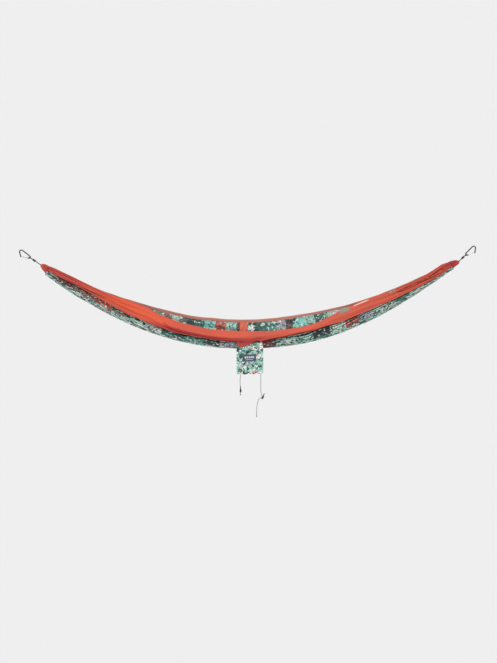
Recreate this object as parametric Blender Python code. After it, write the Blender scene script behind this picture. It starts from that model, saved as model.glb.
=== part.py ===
"""A two-person camping hammock, hung between its two carabiners, with its stuff sack sewn to the near edge.

Metres, +Z up. The origin is the left hang point: the inside of the left carabiner's wide end, where a
strap bears. +X runs to the right hang point, and +Y points away from the side that the sack hangs on.
"""
import math

import bmesh
import bpy
from mathutils import Matrix, Vector

GAP = 0.0003                      # between neighbours that would touch

# The hang: two gathered ends of cloth, each on a rope sling and a carabiner
CLOTH_HALF = 1.332                # half the straight distance between the gathered ends
SAG = 0.443                       # how far the cloth's middle hangs below its ends
LEFT_RUN = 0.134                  # level distance from the left hang point to the cloth
RIGHT_RUN = 0.104
SLING_DROP = 0.095                # from the hang points down to where the ropes meet the cloth
ROPE_ABOVE_MIDDLE = 0.012         # the ropes meet the gathered ends above their middle
MID_X = LEFT_RUN + CLOTH_HALF
END_Z = -(SLING_DROP + ROPE_ABOVE_MIDDLE)
RIGHT_HANG_X = LEFT_RUN + 2 * CLOTH_HALF + RIGHT_RUN
RIGHT_END_RISE = 0.011            # the right gathered end sits this much higher on its rope

# Cloth, as cross-sections of its middle line, each at a share of the half span from the middle:
# (depth, height) in mm from the bundle's centre line. From the near hem up the outside, over the near edge,
# through the trough, over the far edge to the far hem.
CLOTH_T = 0.003
NEAR, CENTRE, FAR = (0, 3), (3, 7), (7, 10)      # each panel's first and last point
SECTIONS = (
    (-1.00, ((-26, 4), (-24, 16), (-14, 26), (-6, 17), (-23, -9), (0, -26),
             (22, -10), (10, 14), (14, 23), (26, 12), (26, -4))),
    (-0.80, ((-52, 18), (-50, 42), (-33, 60), (-20, 44), (-46, -14), (-4, -51),
             (40, -20), (34, 26), (38, 40), (56, 20), (55, -8))),
    (-0.55, ((-84, -9), (-81, 38), (-56, 82), (-38, 58), (-68, -34), (-6, -79),
             (58, -38), (66, 32), (72, 52), (92, 26), (94, -18))),
    (-0.30, ((-104, -29), (-103, 8), (-80, 38), (-61, 16), (-77, -48), (-8, -99),
             (74, -56), (97, 20), (112, 43), (134, 14), (138, -34))),
    (0.00, ((-112, -36), (-109, 2), (-86, 32), (-66, 8), (-80, -48), (-10, -104),
            (78, -56), (104, 34), (122, 60), (146, 26), (150, -26))),
    (0.30, ((-104, -12), (-103, 12), (-80, 35), (-60, 12), (-77, -42), (-8, -96),
            (74, -50), (96, 42), (111, 65), (133, 34), (137, -14))),
    (0.55, ((-84, 14), (-80, 54), (-56, 88), (-38, 64), (-66, -22), (-6, -67),
            (58, -28), (66, 40), (72, 60), (92, 32), (94, -12))),
    (0.80, ((-52, 12), (-50, 42), (-33, 66), (-20, 48), (-44, 0), (-4, -28),
            (40, -4), (34, 36), (38, 50), (56, 30), (55, 4))),
    (0.92, ((-37, 7), (-35, 30), (-23, 50), (-12, 36), (-31, 5), (-2, -14),
            (30, 4), (22, 28), (26, 40), (40, 22), (39, 2))),
    (1.00, ((-26, 15), (-24, 27), (-14, 37), (-6, 28), (-23, 2), (0, -15),
            (22, 1), (10, 25), (14, 34), (26, 23), (26, 7))),
)
SLEEVE_FROM = 0.9685              # the gathered end sleeves take the last stretch of the span
LOFT_STEPS = 34
SPLINE_STEPS = 3

# Rope slings
ROPE_R = 0.00225
LEG_Y = ROPE_R + GAP / 2          # the two legs lie one behind the other
EYE_R = 0.00685
KNOT_LENGTH = 0.026
KNOT_TURNS = 4.5
LEFT_KNOT_AT = 0.019              # from the carabiner's bar to the knot
RIGHT_KNOT_AT = 0.013
WHIPPING = 0.010
TUNNEL_DEPTH = 0.030
TUNNEL_R = 0.008

# Carabiner outline: distances along the load line from the hang point, and above it
ROD_R = 0.004
WIDE_R = 0.012
NARROW_R = 0.008
BEARING = 0.074                   # from the hang point to the middle of the bar that holds the rope
NOSE_START = (0.0205, -0.0266)
NOSE_R = 0.009
NOSE_TURN = 42                    # degrees that the nose curls back
NOSE_TAPER = 0.78                 # the nose's end, as a share of the rod's radius
BAR_PAST_NOSE = 0.0022            # the gate's end bar lies this far towards the hinge from the nose's end
HINGE_STRAIGHT = 0.0068           # from the narrow bend to the gate's hinge
WIRE_R = 0.00125
WIRE_LEG_Y = ROD_R + 0.0004 + WIRE_R + 0.0005

# Stuff sack
SACK_X = 1.4602
SACK_Y = -0.1066
SACK_TOP = -0.5895
CHANNEL_TOP = -0.777
SACK_BOTTOM = -0.794
SACK_HALF = 0.0855
SACK_DEEP = 0.0085                # half its thickness where it is fullest
SACK_WALL = 0.0012
CHANNEL_WALL = 0.0035
LABEL = (0.088, 0.001, 0.046)
LABEL_X, LABEL_Z = 1.4564, -0.680
TAB = (0.016, 0.002, 0.012)
TAB_GAP = 0.0023                  # room above the sack's top edge, so that it swings clear of its tabs

# Drawcords and cord locks
CORD_R = 0.0015
CORD_Y = SACK_Y - 0.0058
LEFT_CORD_X, RIGHT_CORD_X = 1.3976, 1.5299
BARREL_R, BARREL_BORE, BARREL_LENGTH = 0.00575, 0.0044, 0.021
BARREL_FLOOR = 0.002
HOLE_AT = 0.012                   # of the cord's hole, above the barrel's foot
HOLE_R = 0.0021
PLUNGER_R, STEM_R, PLUNGER_TOP = 0.0041, 0.0031, 0.040
PLUNGER_FOOT = 0.0075
PRESS = 0.004
SLOT_WIDTH = 0.0040
SLOT_SLACK = 0.0006               # under the cord in the plunger's slot
LEFT_LOCK = Vector((LEFT_CORD_X + 0.001, CORD_Y + 0.009, SACK_BOTTOM - GAP - 0.114))
RIGHT_LOCK = Vector((RIGHT_CORD_X + 0.0115, CORD_Y + 0.009, SACK_BOTTOM - GAP - 0.160))
RIGHT_LOCK_TILT = 22

# Drawcord routes, in mm from where each leaves the sack; the x = 0, y = 0 start is on the channel's lower edge
LEFT_ROUTE = ((0, 0, 0), (0.2, -0.4, -12), (-0.9, -1.6, -34), (-1.5, -3.2, -62), (-0.9, -4.0, -88),
              (0.6, -4.0, -104), (1.0, -1.2, -112.2), (1.0, 4.2, -114), (1.0, 9.0, -114),
              (1.0, 13.8, -114), (0.9, 19.2, -115.8), (0.2, 21.6, -123.5), (-0.4, 21.2, -132), (-0.8, 20.6, -140))
RIGHT_ROUTE = ((0, 0, 0), (0.1, -0.4, -14), (-0.3, -1.4, -40), (-0.8, -2.6, -70), (-1.2, -3.4, -100),
               (-0.4, -4.0, -122), (3.6, -4.4, -140), (9.2, -3.4, -152), (11.5, 0.2, -159), (11.5, 4.6, -160),
               (11.5, 9.0, -160), (11.5, 13.6, -160), (9.6, 18.4, -160.8), (3.4, 21.2, -163.6),
               (-6.4, 20.8, -168.4), (-14.6, 19.6, -177), (-20.4, 18.6, -192), (-24.6, 17.8, -210),
               (-27.2, 17.0, -230), (-28.2, 16.4, -256), (-28.6, 16.0, -284))
CORD_STEP = 0.004


def material(name, colour, roughness, metallic=0.0):
    mat = bpy.data.materials.new(name)
    mat.use_nodes = True
    shader = mat.node_tree.nodes["Principled BSDF"]
    shader.inputs["Base Color"].default_value = (*colour, 1)
    shader.inputs["Roughness"].default_value = roughness
    shader.inputs["Metallic"].default_value = metallic
    mat.diffuse_color = (*colour, 1)
    return mat


def add_object(name, bm, mat, origin=(0, 0, 0), smooth=True):
    """Turn a bmesh in world metres into an object whose own origin is at `origin`."""
    bmesh.ops.recalc_face_normals(bm, faces=bm.faces)
    bmesh.ops.translate(bm, verts=bm.verts, vec=-Vector(origin))
    mesh = bpy.data.meshes.new(name)
    bm.to_mesh(mesh)
    bm.free()
    if smooth:
        mesh.shade_smooth()
        mesh.set_sharp_from_angle(angle=math.radians(40))
    mesh.materials.append(mat)
    obj = bpy.data.objects.new(name, mesh)
    obj.location = origin
    bpy.context.collection.objects.link(obj)
    return obj


def cut(obj, bm, name):
    """Subtract a bmesh from an object with a Boolean that stays on it."""
    cutter = add_object(name, bm, obj.data.materials[0], smooth=False)
    cutter.hide_render = True
    cutter.display_type = "WIRE"
    cutter.hide_set(True)
    modifier = obj.modifiers.new(name, "BOOLEAN")
    modifier.operation = "DIFFERENCE"
    modifier.object = cutter


def catmull_rom(points, steps):
    """Points on a smooth curve through the given ones, `steps` to each stretch."""
    curve = []
    for i in range(len(points) - 1):
        b, c = points[i], points[i + 1]
        a = points[i - 1] if i else 2 * b - c
        d = points[i + 2] if i + 2 < len(points) else 2 * c - b
        for k in range(steps):
            t = k / steps
            curve.append(0.5 * (2 * b + (c - a) * t + (2 * a - 5 * b + 4 * c - d) * t * t
                                + (3 * b - 3 * c + d - a) * t * t * t))
    curve.append(points[-1].copy())
    return curve


def spaced(curve, step):
    """The curve's points again, at even steps along it."""
    lengths = [0.0]
    for a, b in zip(curve, curve[1:]):
        lengths.append(lengths[-1] + (b - a).length)
    count = round(lengths[-1] / step)
    out, k = [], 0
    for i in range(count + 1):
        want = lengths[-1] * i / count
        while k < len(curve) - 2 and lengths[k + 1] < want:
            k += 1
        out.append(curve[k].lerp(curve[k + 1], (want - lengths[k]) / (lengths[k + 1] - lengths[k])))
    return out


def tube(bm, path, radius, sides, closed=False, across=None):
    """Sweep a round section along a path. `across` is a direction that the path never runs along.

    `radius` is one number or one for each point.
    """
    n = len(path)
    radii = radius if isinstance(radius, (list, tuple)) else [radius] * n
    side = Vector(across or (0, 1, 0))
    rings = []
    for i, p in enumerate(path):
        before = path[i - 1] if i or closed else p
        after = path[(i + 1) % n] if i < n - 1 or closed else p
        along = (after - before).normalized()
        u = (side - along * side.dot(along)).normalized()
        v = along.cross(u)
        if across is None:
            side = u
        ring = []
        for k in range(sides):
            angle = 2 * math.pi * k / sides
            ring.append(bm.verts.new(p + radii[i] * (math.cos(angle) * u + math.sin(angle) * v)))
        rings.append(ring)
    for i in range(n if closed else n - 1):
        a, b = rings[i], rings[(i + 1) % n]
        for k in range(sides):
            bm.faces.new((a[k], a[(k + 1) % sides], b[(k + 1) % sides], b[k]))
    if not closed:
        bm.faces.new(rings[0][::-1])
        bm.faces.new(rings[-1])


def loft(bm, rings, cap_start=True, cap_end=True):
    """Skin closed rings of points; returns their vertices."""
    rows = [[bm.verts.new(p) for p in ring] for ring in rings]
    for a, b in zip(rows, rows[1:]):
        for k in range(len(a)):
            bm.faces.new((a[k], a[(k + 1) % len(a)], b[(k + 1) % len(a)], b[k]))
    if cap_start:
        bm.faces.new(rows[0][::-1])
    if cap_end:
        bm.faces.new(rows[-1])
    return rows


def ring_solid(bm, outer, inner):
    """A solid between an outer and an inner stack of rings, open through its middle."""
    a = loft(bm, outer, False, False)
    b = loft(bm, inner, False, False)
    for x, y in ((a[0], b[0]), (a[-1], b[-1])):
        for k in range(len(x)):
            m = (k + 1) % len(x)
            bm.faces.new((x[k], x[m], y[m], y[k]))


def centre_line(s):
    """The bundle's middle at s, -1 at the left end and 1 at the right one, with its across direction."""
    point = Vector((MID_X + s * CLOTH_HALF, 0, END_Z - SAG * (1 - s * s)))
    along = Vector((CLOTH_HALF, 0, 2 * SAG * s)).normalized()
    return point, Vector((-along.z, 0, along.x))


def section_points(s):
    """The cross-section's own points at s, read smoothly between the stations."""
    last = len(SECTIONS) - 1
    i = next((k for k in range(1, last) if s <= SECTIONS[k][0]), last)
    (x0, p0), (x1, p1) = SECTIONS[i - 1], SECTIONS[i]
    xa, pa = SECTIONS[max(i - 2, 0)]
    xb, pb = SECTIONS[min(i + 1, last)]
    h = x1 - x0
    t = (s - x0) / h
    result = []
    for k in range(len(p0)):
        v0, v1 = Vector(p0[k]), Vector(p1[k])
        m0 = (v1 - Vector(pa[k])) / (x1 - xa)
        m1 = (Vector(pb[k]) - v0) / (xb - x0)
        result.append((2 * t**3 - 3 * t**2 + 1) * v0 + (t**3 - 2 * t**2 + t) * h * m0
                      + (3 * t**2 - 2 * t**3) * v1 + (t**3 - t**2) * h * m1)
    return result


def panel_ring(s, first, last, trim):
    """A closed ring round one panel's thickness at s, kept `trim` short of the seams."""
    curve = catmull_rom([p / 1000 for p in section_points(s)], SPLINE_STEPS)
    start, stop = first * SPLINE_STEPS, last * SPLINE_STEPS
    centre, up = centre_line(s)
    front, back = [], []
    for k in range(start, stop + 1):
        along = (curve[min(k + 1, len(curve) - 1)] - curve[max(k - 1, 0)]).normalized()
        p = curve[k] + along * (trim * ((k == start) - (k == stop)))
        off = Vector((-along.y, along.x)) * CLOTH_T / 2
        for side, q in ((front, p + off), (back, p - off)):
            side.append(centre + Vector((0, q.x, 0)) + up * q.y)
    return front + back[::-1]


def make_panel(name, span, mat):
    first, last = span
    bm = bmesh.new()
    rings = []
    for k in range(LOFT_STEPS + 1):
        s = SLEEVE_FROM * math.sin(math.pi / 2 * (2 * k / LOFT_STEPS - 1) * 0.9) / math.sin(math.pi / 2 * 0.9)
        rings.append(panel_ring(s, first, last, GAP))
    rows = loft(bm, rings, False, False)
    half = len(rows[0]) // 2
    for row in (rows[0], rows[-1]):
        for k in range(half - 1):
            bm.faces.new((row[k], row[k + 1], row[-2 - k], row[-1 - k]))
    add_object(name, bm, mat)


def load_line(side):
    """Hang point, direction from it to the cloth, the spine side's direction, and the rope's whole run."""
    run = LEFT_RUN if side < 0 else RIGHT_RUN
    hang = Vector((0 if side < 0 else RIGHT_HANG_X, 0, 0))
    along = Vector((-side * run, 0, -SLING_DROP))
    length = along.length
    along.normalize()
    return hang, along, Vector((-side * -along.z, 0, abs(along.x))), length


def end_ring(s, depth, height, points=16):
    """An oval ring round the gathered cloth at s."""
    centre, up = centre_line(s)
    if s > 0:
        centre = centre + up * RIGHT_END_RISE
    ring = []
    for k in range(points):
        angle = 2 * math.pi * k / points
        ring.append(centre + Vector((0, depth * math.cos(angle), 0)) + up * height * math.sin(angle))
    return ring


def sling_path(side, start_to_cloth):
    """The closed rope loop: an eye on the carabiner's bar, two legs, and a turn inside the cloth's sleeve."""
    hang, along, _, length = load_line(side)
    knot_at = LEFT_KNOT_AT if side < 0 else RIGHT_KNOT_AT
    half = []
    for k in range(7):
        angle = math.radians(180 - 105 * k / 6)
        half.append((BEARING + EYE_R * math.cos(angle), EYE_R * math.sin(angle)))
    half.append((BEARING + knot_at * 0.66, LEG_Y + 0.0016))
    half.append((BEARING + knot_at - 0.0015, LEG_Y))
    half.append((BEARING + knot_at + KNOT_LENGTH, LEG_Y))
    half.append((length - 0.001, LEG_Y))
    half.append((length + 0.006, LEG_Y + 0.0012))
    half.append((length + 0.013, TUNNEL_R - 0.0008))
    turn = length + TUNNEL_DEPTH - TUNNEL_R
    for k in range(6):
        angle = math.radians(90 - 90 * k / 5)
        half.append((turn + TUNNEL_R * math.cos(angle), TUNNEL_R * math.sin(angle)))
    if start_to_cloth:
        half = [p for p in half if p[0] > length - 0.002]
        half.insert(0, (length - 0.012, LEG_Y))
        outline = half + [(d, -y) for d, y in half[-2::-1]]
    else:
        outline = half + [(d, -y) for d, y in half[-2:0:-1]]
    return [hang + along * d + Vector((0, y, 0)) for d, y in outline]


def make_sleeve(side, name, mat):
    bm = bmesh.new()
    rings = []
    for s, depth, height in ((1.0, 0.017, 0.020), (0.9975, 0.0225, 0.0255), (0.990, 0.0255, 0.0275),
                             (0.979, 0.0270, 0.0285), (SLEEVE_FROM + 0.0003, 0.0285, 0.0295)):
        rings.append(end_ring(side * s, depth, height))
    loft(bm, rings)
    obj = add_object(name, bm, mat)
    tunnel = bmesh.new()
    _, _, up, _ = load_line(side)
    tube(tunnel, sling_path(side, True), ROPE_R + 0.0004, 8, across=up)
    cut(obj, tunnel, name + "_tunnel")


def make_sling(side, names, mats):
    hang, along, up, length = load_line(side)
    rope, knot, whipping = names
    bm = bmesh.new()
    tube(bm, sling_path(side, False), ROPE_R, 8, closed=True, across=up)
    add_object(rope, bm, mats[0])

    start = BEARING + (LEFT_KNOT_AT if side < 0 else RIGHT_KNOT_AT)
    tight = GAP + 2 * ROPE_R
    steps = int(KNOT_TURNS * 12)
    path = []
    for k in range(steps + 1):
        turn = 2 * math.pi * KNOT_TURNS * k / steps
        d = start + ROPE_R + (KNOT_LENGTH - 2 * ROPE_R) * k / steps
        path.append(hang + along * d + up * tight * math.sin(turn)
                    + Vector((0, (tight + LEG_Y) * math.cos(turn), 0)))
    bm = bmesh.new()
    tube(bm, path, ROPE_R, 6, across=along)
    add_object(knot, bm, mats[0])

    rings = {}
    for wall in (GAP, 0.0016):
        stack = []
        for d in (length - 0.0025 - WHIPPING, length - 0.0025):
            ring = []
            for k in range(16):
                angle = 2 * math.pi * k / 16
                off = math.copysign(LEG_Y, math.cos(angle)) if abs(math.cos(angle)) > 1e-6 else 0
                reach = (ROPE_R + wall) / math.cos(math.pi / 16)
                ring.append(hang + along * d + up * reach * math.sin(angle)
                            + Vector((0, off + reach * math.cos(angle), 0)))
            stack.append(ring)
        rings[wall] = stack
    bm = bmesh.new()
    ring_solid(bm, rings[0.0016], rings[GAP])
    add_object(whipping, bm, mats[1])


def arc(centre, radius, start, end, steps):
    out = []
    for k in range(steps + 1):
        angle = math.radians(start + (end - start) * k / steps)
        out.append((centre[0] + radius * math.cos(angle), centre[1] + radius * math.sin(angle)))
    return out


def carabiner_outline():
    """The rod's middle line from the nose to the gate's hinge, with the hinge and the nose's end."""
    wide = (WIDE_R - ROD_R, 0)
    narrow = (BEARING - NARROW_R, 0)
    lean = math.degrees(math.asin((WIDE_R - NARROW_R) / (narrow[0] - wide[0])))
    reach = (NOSE_START[0] - wide[0], NOSE_START[1] - wide[1])
    basket = math.degrees(math.atan2(reach[1], reach[0]) - math.acos(WIDE_R / math.hypot(*reach)))
    curl = (NOSE_START[0] - NOSE_R * math.cos(math.radians(basket)),
            NOSE_START[1] - NOSE_R * math.sin(math.radians(basket)))
    nose = arc(curl, NOSE_R, basket + NOSE_TURN, basket, 4)
    round_wide = arc(wide, WIDE_R, 360 + basket, 90 - lean, 10)
    bend_end = -62.5
    round_narrow = arc(narrow, NARROW_R, 90 - lean, bend_end, 10)
    back = (math.sin(math.radians(bend_end)), -math.cos(math.radians(bend_end)))
    hinge = tuple(round_narrow[-1][k] + back[k] * HINGE_STRAIGHT for k in range(2))
    tip = tuple(hinge[k] + back[k] * 0.0036 for k in range(2))
    return nose + round_wide + round_narrow + [tip], hinge, nose[0]


def make_carabiner(side, names, mats):
    hang, along, up, _ = load_line(side)
    outline, hinge, nose = carabiner_outline()

    def place(point, depth=0.0):
        return hang + along * point[0] + up * point[1] + Vector((0, depth, 0))

    bm = bmesh.new()
    radii = [ROD_R] * len(outline)
    radii[0], radii[1] = ROD_R * NOSE_TAPER, ROD_R * (1 + NOSE_TAPER) / 2
    tube(bm, [place(p) for p in outline], radii, 12, across=(0, 1, 0))
    pivot = place((BEARING - NARROW_R, 0))
    body = add_object(names[0], bm, mats[0], origin=pivot)
    hole = bmesh.new()
    tube(hole, [place(hinge, -0.008), place(hinge, 0.008)], WIRE_R + GAP, 12, across=(1, 0, 0))
    cut(body, hole, names[0] + "_gate_hole")

    # the gate's far end rests on the inner side of the nose
    back = Vector((hinge[0] - nose[0], hinge[1] - nose[1])).normalized()
    inward = Vector((-back.y, back.x))
    end = Vector(nose) + back * BAR_PAST_NOSE + inward * (ROD_R * NOSE_TAPER + WIRE_R + 0.0006)
    reach = (end - Vector(hinge)).length
    lie = (end - Vector(hinge)).normalized()
    half = [(0, 0.0010), (0, 0.0046), (0.0005, 0.0056), (0.0018, WIRE_LEG_Y), (0.010, WIRE_LEG_Y),
            (0.020, WIRE_LEG_Y)]
    for k in range(6):
        angle = math.radians(90 - 90 * k / 5)
        half.append((reach - WIRE_LEG_Y * (1 - math.cos(angle)), WIRE_LEG_Y * math.sin(angle)))
    wire = half + [(d, -y) for d, y in half[-2::-1]]
    path = [place((hinge[0] + lie.x * d, hinge[1] + lie.y * d), y) for d, y in wire]
    bm = bmesh.new()
    tube(bm, path, WIRE_R, 8, across=along * -lie.y + up * lie.x)
    add_object(names[1], bm, mats[1], origin=place(hinge))


def sack_half_depth(z):
    """Half the sack's thickness: a thin top seam that fills out within a few centimetres."""
    below = min(max((SACK_TOP - z) / 0.045, 0), 1)
    return 0.0014 + (SACK_DEEP - 0.0014) * math.sin(below * math.pi / 2)


def sack_ring(z, half_width, half_depth, points=24):
    ring = []
    for k in range(points):
        angle = 2 * math.pi * k / points
        across = math.copysign(abs(math.cos(angle)) ** 0.55, math.cos(angle))
        deep = math.copysign(abs(math.sin(angle)) ** 0.35, math.sin(angle))
        ring.append(Vector((SACK_X + half_width * across, SACK_Y + half_depth * deep, z)))
    return ring


def make_sack(cloth, label_mat, tape_mat):
    pivot = (SACK_X, SACK_Y, SACK_TOP)
    heights = (0.0, 0.006, 0.018, 0.032, 0.045, 0.10, 0.15)
    outer, inner = [], []
    for below in heights:
        z = SACK_TOP - below
        outer.append(sack_ring(z, SACK_HALF - (0.004 if below == 0 else 0), sack_half_depth(z)))
        if below > 0.01:
            inner.append(sack_ring(z, SACK_HALF - 0.003, sack_half_depth(z) - SACK_WALL))
    rim = CHANNEL_TOP + GAP
    outer.append(sack_ring(rim, SACK_HALF, SACK_DEEP))
    inner.append(sack_ring(rim, SACK_HALF - 0.003, SACK_DEEP - SACK_WALL))
    bm = bmesh.new()
    a = loft(bm, outer, True, False)
    b = loft(bm, inner, True, False)
    for k in range(len(a[-1])):
        m = (k + 1) % len(a[-1])
        bm.faces.new((a[-1][k], a[-1][m], b[-1][m], b[-1][k]))
    add_object("sack_body", bm, cloth, origin=pivot)

    outer, inner = [], []
    for z, narrow in ((CHANNEL_TOP - GAP, 0.0), ((CHANNEL_TOP + SACK_BOTTOM) / 2, 0.001), (SACK_BOTTOM, 0.006)):
        outer.append(sack_ring(z, SACK_HALF - narrow, SACK_DEEP - narrow * 0.1))
        inner.append(sack_ring(z, SACK_HALF - 0.005 - narrow, SACK_DEEP - CHANNEL_WALL - narrow * 0.1))
    bm = bmesh.new()
    ring_solid(bm, outer, inner)
    add_object("sack_channel", bm, cloth, origin=pivot)

    front = SACK_Y - SACK_DEEP - GAP - LABEL[1] / 2
    box("sack_label", (LABEL_X, front, LABEL_Z), LABEL, label_mat, pivot)
    for name, x in (("sack_tab_left", SACK_X - SACK_HALF + 0.012), ("sack_tab_right", SACK_X + SACK_HALF - 0.012)):
        box(name, (x, SACK_Y - 0.0016, SACK_TOP + TAB_GAP + TAB[2] / 2), TAB, tape_mat, pivot)


def box(name, centre, size, mat, origin):
    bm = bmesh.new()
    bmesh.ops.create_cube(bm, size=1)
    bmesh.ops.scale(bm, verts=bm.verts, vec=size)
    bmesh.ops.translate(bm, verts=bm.verts, vec=centre)
    add_object(name, bm, mat, origin=origin, smooth=False)


def cord_points(start, route):
    points = [Vector(p) / 1000 + start for p in route]
    return spaced(catmull_rom(points, 12), CORD_STEP)


def make_cord(name, start, route, mat):
    curve = bpy.data.curves.new(name, "CURVE")
    curve.dimensions = "3D"
    curve.bevel_depth = CORD_R
    curve.bevel_resolution = 2
    curve.use_fill_caps = True
    points = cord_points(start, route)
    spline = curve.splines.new("POLY")
    spline.points.add(len(points) - 1)
    for point, p in zip(spline.points, points):
        point.co = (*p, 1)
    curve.materials.append(mat)
    obj = bpy.data.objects.new(name, curve)
    bpy.context.collection.objects.link(obj)
    return points


def make_cord_knot(name, points, mat):
    """The stopper knot at a drawcord's end, with the short tail below it."""
    down = (points[-1] - points[-2]).normalized()
    start = points[-1] + down * GAP
    bm = bmesh.new()
    shape = ((0.0, 0.0014), (0.0008, 0.0030), (0.0026, 0.0040), (0.0048, 0.0038), (0.0066, 0.0024),
             (0.0074, 0.0015), (0.0110, 0.0015))
    tube(bm, [start + down * d for d, _ in shape], [r for _, r in shape], 10, across=(0, 1, 0))
    add_object(name, bm, mat)


def turned(profile, sides):
    """A solid of revolution about Z from (radius, height) points that start and end on the axis."""
    bm = bmesh.new()
    rings = []
    for radius, height in profile:
        if radius == 0:
            rings.append([bm.verts.new((0, 0, height))])
            continue
        ring = []
        for k in range(sides):
            angle = 2 * math.pi * k / sides
            ring.append(bm.verts.new((radius * math.cos(angle), radius * math.sin(angle), height)))
        rings.append(ring)
    for a, b in zip(rings, rings[1:]):
        for k in range(sides):
            m = (k + 1) % sides
            if len(a) == 1:
                bm.faces.new((a[0], b[m], b[k]))
            elif len(b) == 1:
                bm.faces.new((a[k], a[m], b[0]))
            else:
                bm.faces.new((a[k], a[m], b[m], b[k]))
    return bm


def make_lock(hole, tilt, names, mats):
    """A spring cord lock: a barrel, the plunger in it and the spring below; the cord passes through along Y."""
    turn = Matrix.Rotation(math.radians(tilt), 4, "Y")
    place = Matrix.Translation(hole) @ turn @ Matrix.Translation((0, 0, -HOLE_AT))
    barrel, plunger, spring = names

    bm = turned(((0, 0), (BARREL_R - 0.001, 0), (BARREL_R, 0.001), (BARREL_R, BARREL_LENGTH - 0.0006),
                 (BARREL_R - 0.0006, BARREL_LENGTH), (BARREL_BORE, BARREL_LENGTH), (BARREL_BORE, BARREL_FLOOR),
                 (0, BARREL_FLOOR)), 16)
    bm.transform(place)
    shell = add_object(barrel, bm, mats[0], origin=hole)
    bm = bmesh.new()
    tube(bm, [Vector((0, -0.01, HOLE_AT)), Vector((0, 0.01, HOLE_AT))], HOLE_R, 12, across=(1, 0, 0))
    bm.transform(place)
    cut(shell, bm, barrel + "_cord_hole")

    bm = turned(((0, PLUNGER_FOOT), (PLUNGER_R, PLUNGER_FOOT), (PLUNGER_R, BARREL_LENGTH + 0.0015),
                 (STEM_R, BARREL_LENGTH + 0.0022), (STEM_R - 0.0003, PLUNGER_TOP - 0.0012),
                 (STEM_R - 0.0014, PLUNGER_TOP), (0, PLUNGER_TOP)), 16)
    bm.transform(place)
    rod = add_object(plunger, bm, mats[1], origin=hole)
    low = HOLE_AT - CORD_R - SLOT_SLACK
    high = HOLE_AT + CORD_R + PRESS + SLOT_SLACK
    bm = bmesh.new()
    bmesh.ops.create_cube(bm, size=1)
    bmesh.ops.scale(bm, verts=bm.verts, vec=(SLOT_WIDTH, 0.02, high - low))
    bmesh.ops.translate(bm, verts=bm.verts, vec=(0, 0, (high + low) / 2))
    bm.transform(place)
    cut(rod, bm, plunger + "_cord_slot")

    coils, wire = 3, 0.0004
    low, high = BARREL_FLOOR + wire + GAP, PLUNGER_FOOT - wire - GAP
    path = []
    for k in range(coils * 10 + 1):
        angle = 2 * math.pi * k / 10
        path.append(Vector((0.0032 * math.cos(angle), 0.0032 * math.sin(angle),
                            low + (high - low) * k / (coils * 10))))
    bm = bmesh.new()
    tube(bm, path, wire, 5, across=(0, 0, 1))
    bm.transform(place)
    add_object(spring, bm, mats[2], origin=hole)


def main():
    for obj in list(bpy.data.objects):
        bpy.data.objects.remove(obj)

    coral = material("coral_nylon", (0.68, 0.075, 0.030), 0.55)
    printed = material("printed_nylon", (0.12, 0.36, 0.31), 0.55)
    rope = material("sling_rope", (0.035, 0.033, 0.035), 0.8)
    thread = material("whipping_thread", (0.03, 0.012, 0.014), 0.8)
    alloy = material("carabiner_alloy", (0.09, 0.09, 0.095), 0.4, 1.0)
    steel = material("gate_steel", (0.55, 0.55, 0.55), 0.25, 1.0)
    tape = material("tab_tape", (0.45, 0.15, 0.13), 0.7)
    label = material("woven_label", (0.025, 0.035, 0.055), 0.7)
    cord = material("drawcord", (0.06, 0.06, 0.06), 0.8)
    plastic = material("lock_plastic", (0.02, 0.02, 0.022), 0.45)
    button = material("plunger_plastic", (0.035, 0.035, 0.037), 0.45)

    make_panel("near_side_panel", NEAR, coral)
    make_panel("centre_panel", CENTRE, printed)
    make_panel("far_side_panel", FAR, coral)
    for side, word in ((-1, "left"), (1, "right")):
        make_sleeve(side, word + "_end_sleeve", coral)
        make_sling(side, (word + "_sling_rope", word + "_sling_knot", word + "_rope_whipping"), (rope, thread))
        make_carabiner(side, (word + "_carabiner_body", word + "_wire_gate"), (alloy, steel))
    make_sack(printed, label, tape)
    for word, x, route, lock, tilt in (("left", LEFT_CORD_X, LEFT_ROUTE, LEFT_LOCK, 0),
                                       ("right", RIGHT_CORD_X, RIGHT_ROUTE, RIGHT_LOCK, RIGHT_LOCK_TILT)):
        start = Vector((x, CORD_Y, SACK_BOTTOM - GAP))
        points = make_cord(word + "_drawcord", start, route, cord)
        make_cord_knot(word + "_cord_knot", points, cord)
        make_lock(lock, tilt, (word + "_lock_barrel", word + "_lock_plunger", word + "_lock_spring"),
                  (plastic, button, steel))


main()
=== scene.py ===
"""The looks of a camping hammock hung between its two carabiners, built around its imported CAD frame.

Metres, +Z up, in the CAD's own frame: the left hang point is the origin and +X runs to the right one.
"""
import math
import random

import bmesh
import bpy
import numpy as np
from mathutils import Matrix, Vector


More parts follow.
